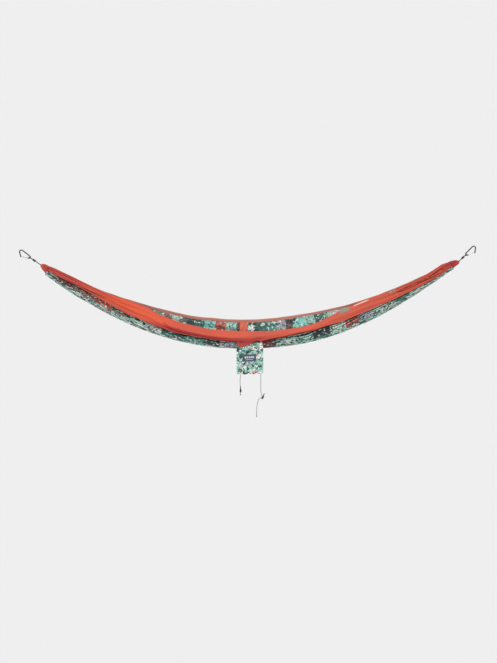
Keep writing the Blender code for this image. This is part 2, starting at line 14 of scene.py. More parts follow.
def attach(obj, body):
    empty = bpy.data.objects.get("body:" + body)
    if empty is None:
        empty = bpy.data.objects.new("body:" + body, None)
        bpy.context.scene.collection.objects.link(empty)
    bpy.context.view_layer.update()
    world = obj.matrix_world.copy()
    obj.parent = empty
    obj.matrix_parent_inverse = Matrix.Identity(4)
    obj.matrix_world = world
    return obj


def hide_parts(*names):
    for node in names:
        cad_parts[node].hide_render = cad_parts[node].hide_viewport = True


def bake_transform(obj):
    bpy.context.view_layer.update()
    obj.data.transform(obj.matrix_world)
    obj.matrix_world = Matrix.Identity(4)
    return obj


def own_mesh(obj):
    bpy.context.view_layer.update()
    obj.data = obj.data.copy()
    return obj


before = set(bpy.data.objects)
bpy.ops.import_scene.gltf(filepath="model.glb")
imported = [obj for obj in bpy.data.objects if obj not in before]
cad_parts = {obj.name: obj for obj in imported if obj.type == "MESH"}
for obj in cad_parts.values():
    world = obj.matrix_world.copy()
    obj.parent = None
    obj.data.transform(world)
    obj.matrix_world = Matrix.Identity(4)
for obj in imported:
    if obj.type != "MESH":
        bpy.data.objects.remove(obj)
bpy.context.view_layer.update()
LEFT, RIGHT = -1, 1
WORD = {LEFT: "left", RIGHT: "right"}
DEPTH = np.array((0, 1, 0))                # away from the camera
GLOW_BELOW, GLOW_ABOVE = 0.870, 1.10       # of the sky

# ---- The hang, as the CAD has it ----
LEFT_RUN, RIGHT_RUN = 0.134, 0.104         # level distance from each hang point to the cloth
CLOTH_HALF = 1.332
SAG = 0.443
SLING_DROP = 0.095
MID_X = LEFT_RUN + CLOTH_HALF
END_Z = -0.107
RIGHT_HANG_X = MID_X + CLOTH_HALF + RIGHT_RUN
RIGHT_END_RISE = 0.011
SLEEVE_FROM = 0.9685

# Cross-sections: (share of the half span, points in mm from the bundle's centre line as (depth, height)).
# Near hem, near face, near crest, near seam, near belly, bottom, far belly, far seam, far crest, back, far hem
SECTIONS = (
    (-1.00, ((-26, 4), (-24, 16), (-14, 26), (-6, 17), (-23, -9), (0, -26),
             (22, -10), (10, 14), (14, 23), (26, 12), (26, -4))),
    (-0.80, ((-52, 18), (-50, 42), (-33, 60), (-20, 44), (-46, -14), (-4, -51),
             (40, -20), (34, 26), (38, 40), (56, 20), (55, -8))),
    (-0.55, ((-84, -9), (-81, 38), (-56, 82), (-38, 58), (-68, -34), (-6, -79),
             (58, -38), (66, 32), (72, 52), (92, 26), (94, -18))),
    (-0.30, ((-104, -29), (-103, 8), (-80, 38), (-61, 16), (-77, -48), (-8, -99),
             (74, -56), (97, 20), (112, 43), (134, 14), (138, -34))),
    (0.00, ((-112, -36), (-109, 2), (-86, 32), (-66, 8), (-80, -48), (-10, -104),
            (78, -56), (104, 34), (122, 60), (146, 26), (150, -26))),
    (0.30, ((-104, -12), (-103, 12), (-80, 35), (-60, 12), (-77, -42), (-8, -96),
            (74, -50), (96, 42), (111, 65), (133, 34), (137, -14))),
    (0.55, ((-84, 14), (-80, 54), (-56, 88), (-38, 64), (-66, -22), (-6, -67),
            (58, -28), (66, 40), (72, 60), (92, 32), (94, -12))),
    (0.80, ((-52, 12), (-50, 42), (-33, 66), (-20, 48), (-44, 0), (-4, -28),
            (40, -4), (34, 36), (38, 50), (56, 30), (55, 4))),
    (0.92, ((-37, 7), (-35, 30), (-23, 50), (-12, 36), (-31, 5), (-2, -14),
            (30, 4), (22, 28), (26, 40), (40, 22), (39, 2))),
    (1.00, ((-26, 15), (-24, 27), (-14, 37), (-6, 28), (-23, 2), (0, -15),
            (22, 1), (10, 25), (14, 34), (26, 23), (26, 7))),
)

# Cloth as it was cut
CENTRE_WIDTH = 1.15
SIDE_WIDTH = 0.32
ROWS = 320                                 # along the hammock
STITCH, STITCH_SHARE, THREAD_R = 0.0034, 0.72, 0.00045
SEAM_STITCHES = (0.004, 0.010)             # from each edge of a panel
BEND = 0.022                               # how far the print's motifs wander
MOST_TURN, MOST_GAIN, HALVINGS = 2.1, 6.0, 26      # of the folds, and of the search for them
TANGENT_STEP = 0.004

# Slings and carabiners
ROPE_R = 0.00225
LEG_Y = 0.0024
EYE_R = 0.00685
KNOT_AT = {LEFT: 0.019, RIGHT: 0.013}
KNOT_LENGTH = 0.026
WHIPPING = 0.010
TUNNEL_DEPTH, TUNNEL_R = 0.030, 0.008
ROD_R, WIDE_R, NARROW_R = 0.004, 0.012, 0.008
BEARING = 0.074
NOSE_START, NOSE_R, NOSE_TURN, NOSE_TAPER = (0.0205, -0.0266), 0.009, 42, 0.78
BAR_PAST_NOSE = 0.0022
HINGE_STRAIGHT = 0.0068
WIRE_R = 0.00125
WIRE_LEG_Y = ROD_R + 0.0004 + WIRE_R + 0.0005

# Stuff sack
SACK_X, SACK_Y = 1.4602, -0.1066
SACK_TOP, SACK_BOTTOM = -0.5895, -0.794
SACK_HALF, SACK_DEEP, SACK_SEAM = 0.0855, 0.0085, 0.0014       # half width, half depth, half depth on top
LABEL_W, LABEL_H = 0.044, 0.023            # half sizes
LABEL_BARS = ((-0.029, -0.018), (-0.014, -0.006), (-0.002, 0.006), (0.010, 0.017), (0.021, 0.030))
LABEL_X, LABEL_Z = 1.4564, -0.687

# Drawcords: routes in mm from where each leaves the sack
CORD_R = 0.0015
CORD_Y = SACK_Y - 0.0058
CORD_START_Z = SACK_BOTTOM - 0.0003
CORD_X = {LEFT: 1.3976, RIGHT: 1.5299}
ROUTE = {
    LEFT: ((0, 0, 0), (0.2, -0.4, -12), (-0.9, -1.6, -34), (-1.5, -3.2, -62), (-0.9, -4.0, -88),
           (0.6, -4.0, -104), (1.0, -1.2, -112.2), (1.0, 4.2, -114), (1.0, 9.0, -114), (1.0, 13.8, -114),
           (0.9, 19.2, -115.8), (0.2, 21.6, -123.5), (-0.4, 21.2, -132), (-0.8, 20.6, -140)),
    RIGHT: ((0, 0, 0), (0.1, -0.4, -14), (-0.3, -1.4, -40), (-0.8, -2.6, -70), (-1.2, -3.4, -100),
            (-0.4, -4.0, -122), (3.6, -4.4, -140), (9.2, -3.4, -152), (11.5, 0.2, -159), (11.5, 4.6, -160),
            (11.5, 9.0, -160), (11.5, 13.6, -160), (9.6, 18.4, -160.8), (3.4, 21.2, -163.6),
            (-6.4, 20.8, -168.4), (-14.6, 19.6, -177), (-20.4, 18.6, -192), (-24.6, 17.8, -210),
            (-27.2, 17.0, -230), (-28.2, 16.4, -256), (-28.6, 16.0, -284)),
}
LOCK = {LEFT: (0.0010, 0.009, -0.114), RIGHT: (0.0115, 0.009, -0.160)}
LOCK_TILT = {LEFT: 0, RIGHT: 22}
BARREL_R, BARREL_BORE, BARREL_LENGTH, HOLE_AT = 0.00575, 0.0044, 0.021, 0.012
BARREL_FLOOR, SPRING_WIRE, COIL_R, COIL_TURNS = 0.002, 0.0004, 0.0032, 3
HOLE_R, PLUNGER_FOOT = 0.0021, 0.0075


# ---- Materials ----
def rgb(red, green, blue):
    """A colour as it looks on a screen, 0 to 255, as a linear one."""
    linear = []
    for c in (red, green, blue):
        c /= 255
        linear.append(c / 12.92 if c <= 0.04045 else ((c + 0.055) / 1.055) ** 2.4)
    return (*linear, 1)


def toned(tint, by, plus=0):
    """A tint made lighter or darker, as a linear colour."""
    return rgb(*(min(255, c * by + plus) for c in tint))


class Finish:
    """A material and short ways to add nodes to it."""

    def __init__(self, name, roughness, metallic=0.0, specular=0.5):
        self.material = bpy.data.materials.new(name)
        self.material.use_nodes = True
        self.tree = self.material.node_tree
        self.shader = self.tree.nodes["Principled BSDF"]
        self.shader.inputs["Roughness"].default_value = roughness
        self.shader.inputs["Metallic"].default_value = metallic
        self.shader.inputs["Specular IOR Level"].default_value = specular

    def node(self, kind, inputs, **settings):
        node = self.tree.nodes.new(kind)
        for key, value in settings.items():
            setattr(node, key, value)
        for key, value in inputs.items():
            self.feed(node.inputs[key], value)
        return node

    def feed(self, socket, value):
        if isinstance(value, bpy.types.NodeSocket):
            self.tree.links.new(value, socket)
        else:
            socket.default_value = value

    def set(self, **inputs):
        for key, value in inputs.items():
            self.feed(self.shader.inputs[key.replace("_", " ")], value)

    def math(self, operation, a, b=0.0):
        return self.node("ShaderNodeMath", {0: a, 1: b}, operation=operation).outputs[0]

    def times(self, a, b):
        return self.math("MULTIPLY", a, b)

    def plus(self, a, b):
        return self.math("ADD", a, b)

    def between(self, value, low, high):
        """0 below low, 1 above high and a smooth rise between them."""
        return self.node("ShaderNodeMapRange", {"Value": value, "From Min": low, "From Max": high},
                         interpolation_type="SMOOTHSTEP").outputs["Result"]

    def spread(self, value, low, high):
        """A value of 0 to 1, spread over low to high."""
        ranged = self.node("ShaderNodeMapRange", {"Value": value, "To Min": low, "To Max": high})
        return ranged.outputs["Result"]

    def mix(self, factor, a, b, blend="MIX"):
        node = self.node("ShaderNodeMix", {"Factor": factor}, data_type="RGBA", blend_type=blend)
        self.feed(node.inputs[6], a)
        self.feed(node.inputs[7], b)
        return node.outputs[2]

    def noise(self, at, scale, detail=2.0, roughness=0.5):
        return self.node("ShaderNodeTexNoise", {"Vector": at, "Scale": scale, "Detail": detail,
                                                "Roughness": roughness}).outputs["Fac"]

    def shifted(self, at, x, y):
        return self.node("ShaderNodeVectorMath", {0: at, 1: (x, y, 0)}, operation="ADD").outputs[0]

    def stretched(self, at, scale):
        return self.node("ShaderNodeMapping", {"Vector": at, "Scale": scale}).outputs[0]

    def runs(self, value, starts, end):
        """Flat runs of colour: each entry is where along `value` a colour starts."""
        low = starts[0][0]
        factor = self.node("ShaderNodeMapRange", {"Value": value, "From Min": low, "From Max": end})
        node = self.node("ShaderNodeValToRGB", {0: factor.outputs["Result"]})
        stops = node.color_ramp.elements
        node.color_ramp.interpolation = "CONSTANT"
        stops.remove(stops[1])
        stops[0].color = rgb(*starts[0][1])
        for start, colour in starts[1:]:
            stops.new((start - low) / (end - low)).color = rgb(*colour)
        return node.outputs["Color"]

    def painted_fold_shade(self, colour, deep, distance=0.035, low=0.15, high=0.95):
        """The colour with painted shade deeper down in folds, where little light comes in, from an ambient
        occlusion node.
        """
        reached = self.node("ShaderNodeAmbientOcclusion", {"Distance": distance}, samples=8).outputs["AO"]
        closed = self.math("SUBTRACT", 1.0, self.between(reached, low, high))
        return self.mix(closed, colour, deep, "MULTIPLY")

    def rubbed(self, low, high, share):
        """How much a raised edge is rubbed, up to `share`."""
        edges = self.node("ShaderNodeNewGeometry", {}).outputs["Pointiness"]
        return self.times(self.between(edges, low, high), share)

    def uv(self):
        """The cloth's own coordinates in metres: both, across and along."""
        at = self.node("ShaderNodeUVMap", {}, uv_map="cloth").outputs[0]
        parts = self.node("ShaderNodeSeparateXYZ", {0: at})
        return at, parts.outputs[0], parts.outputs[1]

    def space(self):
        return self.node("ShaderNodeTexCoord", {}).outputs["Object"]

    def bump(self, height, distance, strength=1.0):
        node = self.node("ShaderNodeBump", {"Height": height, "Distance": distance, "Strength": strength})
        self.tree.links.new(node.outputs[0], self.shader.inputs["Normal"])

    def weave(self, across, along, pitch):
        """Threads over and under each other: 0 to 1."""
        turn = math.pi / pitch
        warp = self.math("SINE", self.times(across, turn))
        weft = self.math("SINE", self.times(along, turn))
        both = {0: self.times(warp, weft), 1: 0.5, 2: 0.5}
        return self.node("ShaderNodeMath", both, operation="MULTIPLY_ADD").outputs[0]

    def stitches(self, across, along, rows):
        """1 on the threads of straight stitch rows at these places across, else 0."""
        run = self.math("FRACT", self.math("DIVIDE", along, STITCH))
        thread = self.math("LESS_THAN", run, STITCH_SHARE)
        total = None
        for row in rows:
            off = self.math("ABSOLUTE", self.math("SUBTRACT", across, row))
            mark = self.times(self.math("LESS_THAN", off, THREAD_R), thread)
            total = mark if total is None else self.math("MAXIMUM", total, mark)
        return total


def finish_nylon(finish, cloth, colour, rows, thread, fold_shade, smoothest):
    """What both nylons share: stitch rows, painted shade in the folds, a soft sheen, wear, fine weave and small
    puckers.
    """
    at, across, along = cloth
    stitches = finish.stitches(across, along, rows) if rows else None
    if rows:
        colour = finish.mix(stitches, colour, rgb(*thread))
    # painted shade: the base colour is darkened in the folds by ambient occlusion
    finish.set(Base_Color=finish.painted_fold_shade(colour, *fold_shade), Sheen_Weight=0.08, Sheen_Roughness=0.4,
               Roughness=finish.spread(finish.noise(at, 24, 4), smoothest, smoothest + 0.18))
    weave = finish.weave(across, along, 0.0006)
    height = finish.plus(finish.times(weave, 0.10), finish.times(finish.noise(at, 90, 3), 0.9))
    if rows:
        height = finish.plus(height, stitches)
    finish.bump(height, 0.0005, 0.5)
    return finish.material


def coral_nylon(name, rows=(), tint=(191, 71, 45), changes=()):
    """Coral nylon. Each change tints a stretch of it: (low u, high u, low v, high v, softness, colour)."""
    finish = Finish(name, 0.55)
    cloth = at, across, along = finish.uv()
    shade = finish.between(finish.noise(at, 3.1, 2), 0.35, 0.65)
    colour = finish.mix(shade, toned(tint, 0.95), toned(tint, 1.03))
    drift = finish.times(finish.math("SUBTRACT", finish.noise(at, 9, 3), 0.5), 0.03)
    for low_u, high_u, low_v, high_v, soft, other in changes:
        u = finish.plus(across, drift)
        fade = 8 * soft
        inside = finish.times(finish.between(u, low_u - soft, low_u + soft),
                              finish.between(u, high_u + soft, high_u - soft))
        run = finish.times(finish.between(along, low_v - fade, low_v + fade),
                           finish.between(along, high_v + fade, high_v - fade))
        colour = finish.mix(finish.times(inside, run), colour, rgb(*other))
    streak = finish.noise(finish.stretched(at, (1, 0.06, 1)), 85, 3, 0.6)
    colour = finish.mix(finish.times(finish.between(streak, 0.5, 0.8), 0.35), colour, toned(tint, 0.80))
    # (0.42, 0.20, 0.20) is the colour of the painted shade in the coral's folds
    return finish_nylon(finish, cloth, colour, rows, (140, 44, 34), ((0.42, 0.20, 0.20, 1),), 0.46)


MINT, PALE_MINT, WHITE = (150, 196, 182), (186, 216, 202), (222, 220, 212)
TEAL, DEEP_TEAL, BRIGHT = (64, 134, 122), (34, 84, 78), (128, 208, 200)
GREY_GREEN, INK, CORAL = (104, 112, 104), (30, 42, 42), (196, 78, 66)
LILAC, BROWN, WINE = (176, 170, 184), (150, 104, 92), (110, 50, 50)

# The large motifs' colours; those named twice come up twice as often
MOTIF_COLOURS = (MINT, MINT, PALE_MINT, PALE_MINT, WHITE, TEAL, TEAL, DEEP_TEAL, DEEP_TEAL, BRIGHT, GREY_GREEN,
                 INK, LILAC, BROWN, WINE, CORAL)


def drawn_runs(seed, reach, shortest, longest):
    """Large motifs of a generic print from -reach to reach: where each starts and its colour, both drawn."""
    draw = random.Random(seed)
    start, runs, colour = -reach, [], None
    while start < reach:
        colour = draw.choice([other for other in MOTIF_COLOURS if other != colour])
        runs.append((start, colour))
        start += draw.uniform(shortest, longest)
    return runs


def large_motifs(finish, colour, at, across, along, bent):
    """Runs of colour over the print: on the underside, and high on the far wall inside."""
    parts = finish.node("ShaderNodeSeparateXYZ", {0: bent})
    bent_along = finish.math("SUBTRACT", parts.outputs[1], BEND / 2)
    below = finish.runs(bent_along, drawn_runs(5, 1.45, 0.094, 0.15), 1.45)
    inside = finish.runs(bent_along, drawn_runs(8, 0.68, 0.045, 0.085), 0.68)
    kept = finish.between(finish.noise(finish.shifted(at, 2.2, 8.8), 26, 2), 0.34, 0.46)
    colour = finish.mix(finish.times(finish.between(across, 0.62, 0.54), kept), colour, below)
    wall = finish.times(finish.between(across, 0.995, 1.03), finish.between(along, -0.64, -0.60))
    wall = finish.times(wall, finish.between(along, 0.66, 0.62))
    return finish.mix(finish.times(wall, 0.92), colour, inside)


def printed_nylon(name, rows=(), large=True, fine=1.0):
    """A generic blotch and brush-mark print in mint, teal, pale grey and coral.

    `large` lays large motifs over it. They are drawn from a fixed seed, and follow no real print.
    """
    finish = Finish(name, 0.58)
    cloth = at, across, along = finish.uv()
    wander = finish.node("ShaderNodeTexNoise", {"Vector": at, "Scale": 22.0, "Detail": 2.0}).outputs["Color"]
    bend = finish.node("ShaderNodeVectorMath", {0: wander, "Scale": BEND}, operation="SCALE").outputs[0]
    bent = finish.node("ShaderNodeVectorMath", {0: at, 1: bend}, operation="ADD").outputs[0]

    ground = finish.noise(bent, 22 * fine, 2)
    colour = finish.mix(finish.between(ground, 0.49, 0.52), rgb(*MINT), rgb(*TEAL))
    colour = finish.mix(finish.between(ground, 0.60, 0.62), colour, rgb(*DEEP_TEAL))
    pale = finish.noise(finish.shifted(bent, 3.1, 1.7), 19 * fine, 2, 0.6)
    colour = finish.mix(finish.between(pale, 0.57, 0.59), colour, rgb(*WHITE))
    hue = finish.noise(finish.shifted(bent, 7.3, 5.9), 15 * fine, 1)
    colour = finish.mix(finish.between(hue, 0.655, 0.67), colour, rgb(*CORAL))
    colour = finish.mix(finish.between(hue, 0.36, 0.34), colour, rgb(*LILAC))
    if large:
        colour = large_motifs(finish, colour, at, across, along, bent)

    clump = finish.noise(finish.shifted(at, 4.4, 0.6), 16 * fine, 2)
    blot = finish.noise(finish.shifted(bent, 1.9, 6.1), 46 * fine**0.5, 2, 0.55)
    ink = finish.times(finish.between(blot, 0.550, 0.565), finish.between(clump, 0.42, 0.50))
    colour = finish.mix(ink, colour, rgb(*INK))
    chalk = finish.noise(finish.shifted(bent, 9.7, 2.3), 50 * fine**0.5, 2, 0.55)
    fleck = finish.times(finish.between(chalk, 0.585, 0.605), finish.between(clump, 0.56, 0.48))
    colour = finish.mix(fleck, colour, rgb(226, 232, 224))
    line = finish.noise(finish.shifted(bent, 5.5, 3.3), 34 * fine, 2)
    ridge = finish.math("ABSOLUTE", finish.math("SUBTRACT", line, 0.5))
    colour = finish.mix(finish.between(ridge, 0.020, 0.014), colour, rgb(*DEEP_TEAL))
    # the colour of the painted shade in the print's folds, with its reach and limits
    fold_shade = ((0.10, 0.12, 0.11, 1), 0.06, 0.10, 0.98)
    return finish_nylon(finish, cloth, colour, rows, (60, 78, 76), fold_shade, 0.48)


def braided(name, dark, light, strands, pitch):
    """A braided cord: its coordinates run once round it and along it in metres."""
    finish = Finish(name, 0.85)
    _, around, along = finish.uv()
    turn = finish.times(around, 2 * math.pi * strands)
    run = finish.times(along, 2 * math.pi / pitch)
    one = finish.math("SINE", finish.plus(turn, run))
    other = finish.math("SINE", finish.math("SUBTRACT", turn, run))
    fuzz = finish.noise(finish.space(), 2600, 3)
    height = finish.plus(finish.times(finish.times(one, other), 0.5), finish.times(fuzz, 0.4))
    finish.set(Base_Color=finish.mix(finish.between(height, -0.2, 0.75), rgb(*dark), rgb(*light)),
               Sheen_Weight=0.3, Sheen_Roughness=0.5)
    finish.bump(height, 0.0004, 0.9)
    return finish.material


def metal(name, tint, roughness):
    """Anodised or polished metal with fine scratches and rubbed high spots."""
    finish = Finish(name, roughness, metallic=1.0)
    at = finish.space()
    fine = finish.noise(at, 900, 4)
    scratch = finish.between(finish.noise(finish.stretched(at, (1, 9, 1)), 420, 5, 0.7), 0.60, 0.72)
    bare = finish.math("MAXIMUM", finish.times(scratch, 0.25), finish.rubbed(0.52, 0.60, 0.5))
    finish.set(Base_Color=finish.mix(bare, rgb(*tint), toned(tint, 1.35, 18)),
               Roughness=finish.spread(fine, roughness - 0.08, roughness + 0.12))
    finish.bump(finish.plus(fine, finish.times(scratch, -0.6)), 0.00004, 0.6)
    return finish.material


def moulded(name, tint, roughness):
    """Moulded plastic with a fine spark-eroded texture and paler rubbed edges."""
    finish = Finish(name, roughness)
    at = finish.space()
    grain = finish.noise(at, 2400, 3)
    colour = finish.mix(finish.noise(at, 260, 3), toned(tint, 0.82), toned(tint, 1.15))
    finish.set(Base_Color=finish.mix(finish.rubbed(0.52, 0.62, 0.35), colour, toned(tint, 1.9, 20)),
               Roughness=finish.spread(grain, roughness - 0.06, roughness + 0.14))
    finish.bump(grain, 0.00006, 0.7)
    return finish.material


def woven(name, tint, marks=None):
    """Narrow woven tape or a woven label; `marks` adds that pale colour where the mesh's mark layer says."""
    finish = Finish(name, 0.8)
    at, across, along = finish.uv()
    weave = finish.weave(across, along, 0.0005)
    cloud = finish.noise(at, 160, 3)
    colour = finish.mix(cloud, toned(tint, 0.85), toned(tint, 1.12))
    if marks:
        bar = finish.node("ShaderNodeAttribute", {}, attribute_name="mark").outputs["Fac"]
        colour = finish.mix(bar, colour, rgb(*marks))
    finish.set(Base_Color=finish.mix(finish.times(weave, 0.25), colour, rgb(20, 22, 26)),
               Sheen_Weight=0.2, Sheen_Roughness=0.5)
    finish.bump(finish.plus(weave, finish.times(cloud, 0.3)), 0.0002, 0.6)
    return finish.material


# ---- Shapes ----
def ripple(x, y, seed):
    """Smooth, repeatable unevenness between about -1 and 1, with features about one unit wide."""
    total = 0
    for k in range(1, 5):
        turn = seed * 2.399 + k * 1.913
        pace = 1.2 + 0.9 * k
        total = total + np.sin(pace * (x * math.cos(turn) + y * math.sin(turn)) + seed * k * 1.7)
    return total / 2.6


def rise(x, low, high):
    """0 below low, 1 above high and a smooth rise between them."""
    t = np.clip((x - low) / (high - low), 0, 1)
    return t * t * (3 - 2 * t)


def hump(x, low, high):
    """0 outside low to high and 1 in the middle of it."""
    return rise(x, low, (low + high) / 2) * (1 - rise(x, (low + high) / 2, high))


def unit(vectors):
    return vectors / np.linalg.norm(vectors, axis=-1, keepdims=True)


def pairs(a, b):
    """Rows of two coordinates, either of which may be one number for all."""
    return np.stack(np.broadcast_arrays(a, b), axis=1)


def smooth_curve(points, steps):
    """A Catmull-Rom curve through the points, `steps` to each stretch."""
    p = np.asarray(points, float)
    p = np.vstack((2 * p[0] - p[1], p, 2 * p[-1] - p[-2]))
    t = np.arange(steps)[:, None] / steps
    parts = []
    for a, b, c, d in zip(p, p[1:], p[2:], p[3:]):
        parts.append(0.5 * (2 * b + (c - a) * t + (2 * a - 5 * b + 4 * c - d) * t**2
                            + (3 * b - 3 * c + d - a) * t**3))
    parts.append(p[-2:-1])
    return np.vstack(parts)


def closed_curve(points, steps):
    """A smooth curve through the points and back to the first."""
    p = np.asarray(points, float)
    curve = smooth_curve(np.vstack((p[-2:], p, p[:3])), steps)
    return curve[2 * steps:(2 + len(p)) * steps]


def arc_lengths(points):
    return np.concatenate(([0], np.cumsum(np.linalg.norm(np.diff(points, axis=0), axis=1))))


def at_lengths(points, wanted):
    lengths = arc_lengths(points)
    return np.stack([np.interp(wanted, lengths, points[:, k]) for k in range(points.shape[1])], axis=1)


def evenly(points, step):
    length = arc_lengths(points)[-1]
    return at_lengths(points, np.linspace(0, length, round(length / step) + 1))


def arc(centre, radius, start, end, steps):
    """Points on an arc between two angles in degrees."""
    angles = np.radians(np.linspace(start, end, steps + 1))
    return np.stack((centre[0] + radius * np.cos(angles), centre[1] + radius * np.sin(angles)), axis=1)


class Builder:
    """Collects grids of points into one mesh, with the cloth's coordinates at each point."""

    def __init__(self):
        self.vertices, self.faces, self.uvs = [], [], []

    def grid(self, points, uvs, closed=False, caps=False, flip=False):
        """A grid of rows of points; `closed` joins each row's ends, and `caps` fills the first and last row."""
        points = np.array(points)
        rows, count = points.shape[:2]
        start = len(self.vertices)
        self.vertices.extend(points.reshape(-1, 3))
        self.uvs.extend(np.array(uvs).reshape(-1, 2))
        for r in range(rows - 1):
            for c in range(count if closed else count - 1):
                a = start + r * count + c
                b = start + r * count + (c + 1) % count
                face = (a, b, b + count, a + count)
                self.faces.append(face[::-1] if flip else face)
        if caps:
            first = [start + c for c in range(count)]
            last = [start + (rows - 1) * count + c for c in range(count)]
            self.faces.extend((first[::-1], last))

    def tube(self, path, radius, sides=12, closed=False, across=(0, 1, 0), steady=False):
        """A round tube along a path; `steady` keeps `across` as its side, or else the side is carried along."""
        path = np.asarray(path, float)
        if closed:
            ahead, behind = np.roll(path, -1, 0), np.roll(path, 1, 0)
        else:
            ahead, behind = np.vstack((path[1:], path[-1:])), np.vstack((path[:1], path[:-1]))
        side = np.asarray(across, float)
        lengths = arc_lengths(path)
        angles = np.linspace(0, 2 * math.pi, sides, endpoint=False)
        around, over = np.cos(angles)[:, None], np.sin(angles)[:, None]
        rings, uvs = [], []
        radii = np.broadcast_to(radius, len(path))
        for point, tangent, r, length in zip(path, unit(ahead - behind), radii, lengths):
            u = unit(side - tangent * side.dot(tangent))
            if not steady:
                side = u
            rings.append(point + r * (around * u + over * np.cross(tangent, u)))
            uvs.append(pairs(angles / (2 * math.pi), length))
        if closed:
            rings.append(rings[0])
            uvs.append(uvs[0] + np.array((0, lengths[-1])))
        self.grid(rings, uvs, closed=True, caps=not closed)

    def turned(self, profile, sides, place):
        """A solid of revolution about its own Z, from (radius, height) points from axis to axis."""
        profile = np.asarray(profile, float)
        angles = np.linspace(0, 2 * math.pi, sides, endpoint=False)
        rings, uvs = [], []
        for (radius, height), length in zip(profile, arc_lengths(profile)):
            radius = max(radius, 1e-5)
            rings.append([place @ Vector((radius * c, radius * s, height))
                          for c, s in zip(np.cos(angles), np.sin(angles))])
            uvs.append(pairs(angles * radius, length))
        self.grid(rings, uvs, closed=True, caps=True)

    def build(self, name, material):
        mesh = bpy.data.meshes.new(name)
        mesh.from_pydata([tuple(v) for v in self.vertices], [], self.faces)
        mesh.materials.append(material)
        layer = mesh.uv_layers.new(name="cloth")
        corner = np.zeros(len(mesh.loops), int)
        mesh.loops.foreach_get("vertex_index", corner)
        layer.data.foreach_set("uv", np.asarray(self.uvs)[corner].ravel())
        mesh.shade_smooth()
        obj = bpy.data.objects.new(name, mesh)
        bpy.context.collection.objects.link(obj)
        return obj


def grid_piece(name, material, points, uvs, **how):
    builder = Builder()
    builder.grid(points, uvs, **how)
    return builder.build(name, material)


def tube_piece(name, material, path, radius, sides, **how):
    builder = Builder()
    builder.tube(path, radius, sides, **how)
    return builder.build(name, material)


def fitted(piece, body, slot, *replaced):
    """Put a piece on its body, in place of the CAD nodes that it stands for; `slot` is not used."""
    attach(piece, body)
    if replaced:
        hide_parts(*replaced)


# ---- The gathered cloth ----
def centre_line(s):
    """The bundle's middle at s, -1 to 1 from end to end, with the direction across it."""
    point = np.array((MID_X + s * CLOTH_HALF, 0, END_Z - SAG * (1 - s * s)))
    along = unit(np.array((CLOTH_HALF, 0, 2 * SAG * s)))
    return point, np.array((-along[2], 0, along[0]))


# Where the cloth's edges stand off their smooth lines, as (s, mm of height), by section point
LIFT = {
    0: ((0.03, 0), (0.09, 15), (0.2, 18), (0.34, 14), (0.46, 2), (0.6, 0)),
    1: ((0.0, 0), (0.1, 6), (0.3, 5), (0.46, 0)),
    2: ((-1, 3), (-0.95, 11), (-0.85, 6), (-0.72, -3), (-0.5, -5), (-0.43, -9), (-0.35, -2), (-0.3, 0),
        (0.3, 0), (0.38, 2), (0.44, 5), (0.485, 2), (0.505, -6), (0.525, -4), (0.56, -3), (0.62, -5),
        (0.665, -9), (0.7, -9), (0.73, -5), (0.8, -5), (0.83, -8), (0.86, -3), (0.88, 1), (0.945, 14),
        (0.975, 4)),
    5: ((-1, 0), (-0.85, -4), (-0.2, -5), (-0.1, -1), (0.2, -2), (0.5, -5), (0.9, -5), (0.96, 0)),
    7: ((-0.6, 0), (-0.4, 6), (0, 8), (0.3, 8), (0.5, 3), (0.6, 0)),
    8: ((-1, 2), (-0.95, 9), (-0.85, 6), (-0.72, 2), (-0.5, 7), (-0.4, 12), (-0.2, 12), (-0.08, 4), (0, 0),
        (0.88, 2), (0.945, 14), (0.975, 4)),
}
# The section point, the lift that it follows, and by how much
FOLLOW = ((0, 0, 1.0), (1, 1, 1.0), (2, 2, 1.0), (3, 2, 0.8), (4, 5, 0.5), (5, 5, 1.0), (6, 5, 0.6),
          (7, 8, 0.8), (7, 7, 1.0), (8, 8, 1.0), (9, 8, 0.6))


def section(s):
    """The cloth's cross-section at s, in metres."""
    points = smooth_section(s)
    for k, lift, share in FOLLOW:
        at, heights = zip(*LIFT[lift])
        points[k, 1] += share * np.interp(s, at, heights) / 1000
    return points


def smooth_section(s):
    """The section's points at s, in metres, read smoothly between the stations."""
    last = len(SECTIONS) - 1
    i = next((k for k in range(1, last) if s <= SECTIONS[k][0]), last)
    stations = [SECTIONS[k] for k in (max(i - 2, 0), i - 1, i, min(i + 1, last))]
    xa, x0, x1, xb = (at for at, _ in stations)
    pa, p0, p1, pb = (np.array(points, float) / 1000 for _, points in stations)
    h = x1 - x0
    t = (s - x0) / h
    m0, m1 = h * (p1 - pa) / (x1 - xa), h * (pb - p0) / (xb - x0)
    return ((2 * t**3 - 3 * t**2 + 1) * p0 + (t**3 - 2 * t**2 + t) * m0
            + (3 * t**2 - 2 * t**3) * p1 + (t**3 - t**2) * m1)


def in_space(s, flat):
    """Section points (depth, height) at s as points in space."""
    point, up = centre_line(s)
    return point + flat[:, :1] * DEPTH + flat[:, 1:] * up


def tucked(s, edge, hem, inward, loose_height):
    """Two points that carry a hem up behind its panel: beside the panel's edge, and the hem's own end."""
    inset = inward * (0.0025 + 0.006 * (1 - abs(s)))
    return edge + (inset, -0.25 * (edge[1] - hem[1])), hem + (1.7 * inset, loose_height)


def near_outline(s):
    """The near side panel: the loose hem behind it, the folded lower edge, the face, the crest, the seam."""
    hem, face, crest, seam = section(s)[:4]
    hem = hem + (0, 0.0022 * ripple(s * 8, 0, 3))
    peek = -0.010 + 0.022 * rise(s, 0.0, 0.07) * (1 - rise(s, 0.30, 0.42))
    tuck, loose = tucked(s, face, hem, 1, -peek)
    return np.array((loose, tuck, hem, face, crest, seam))


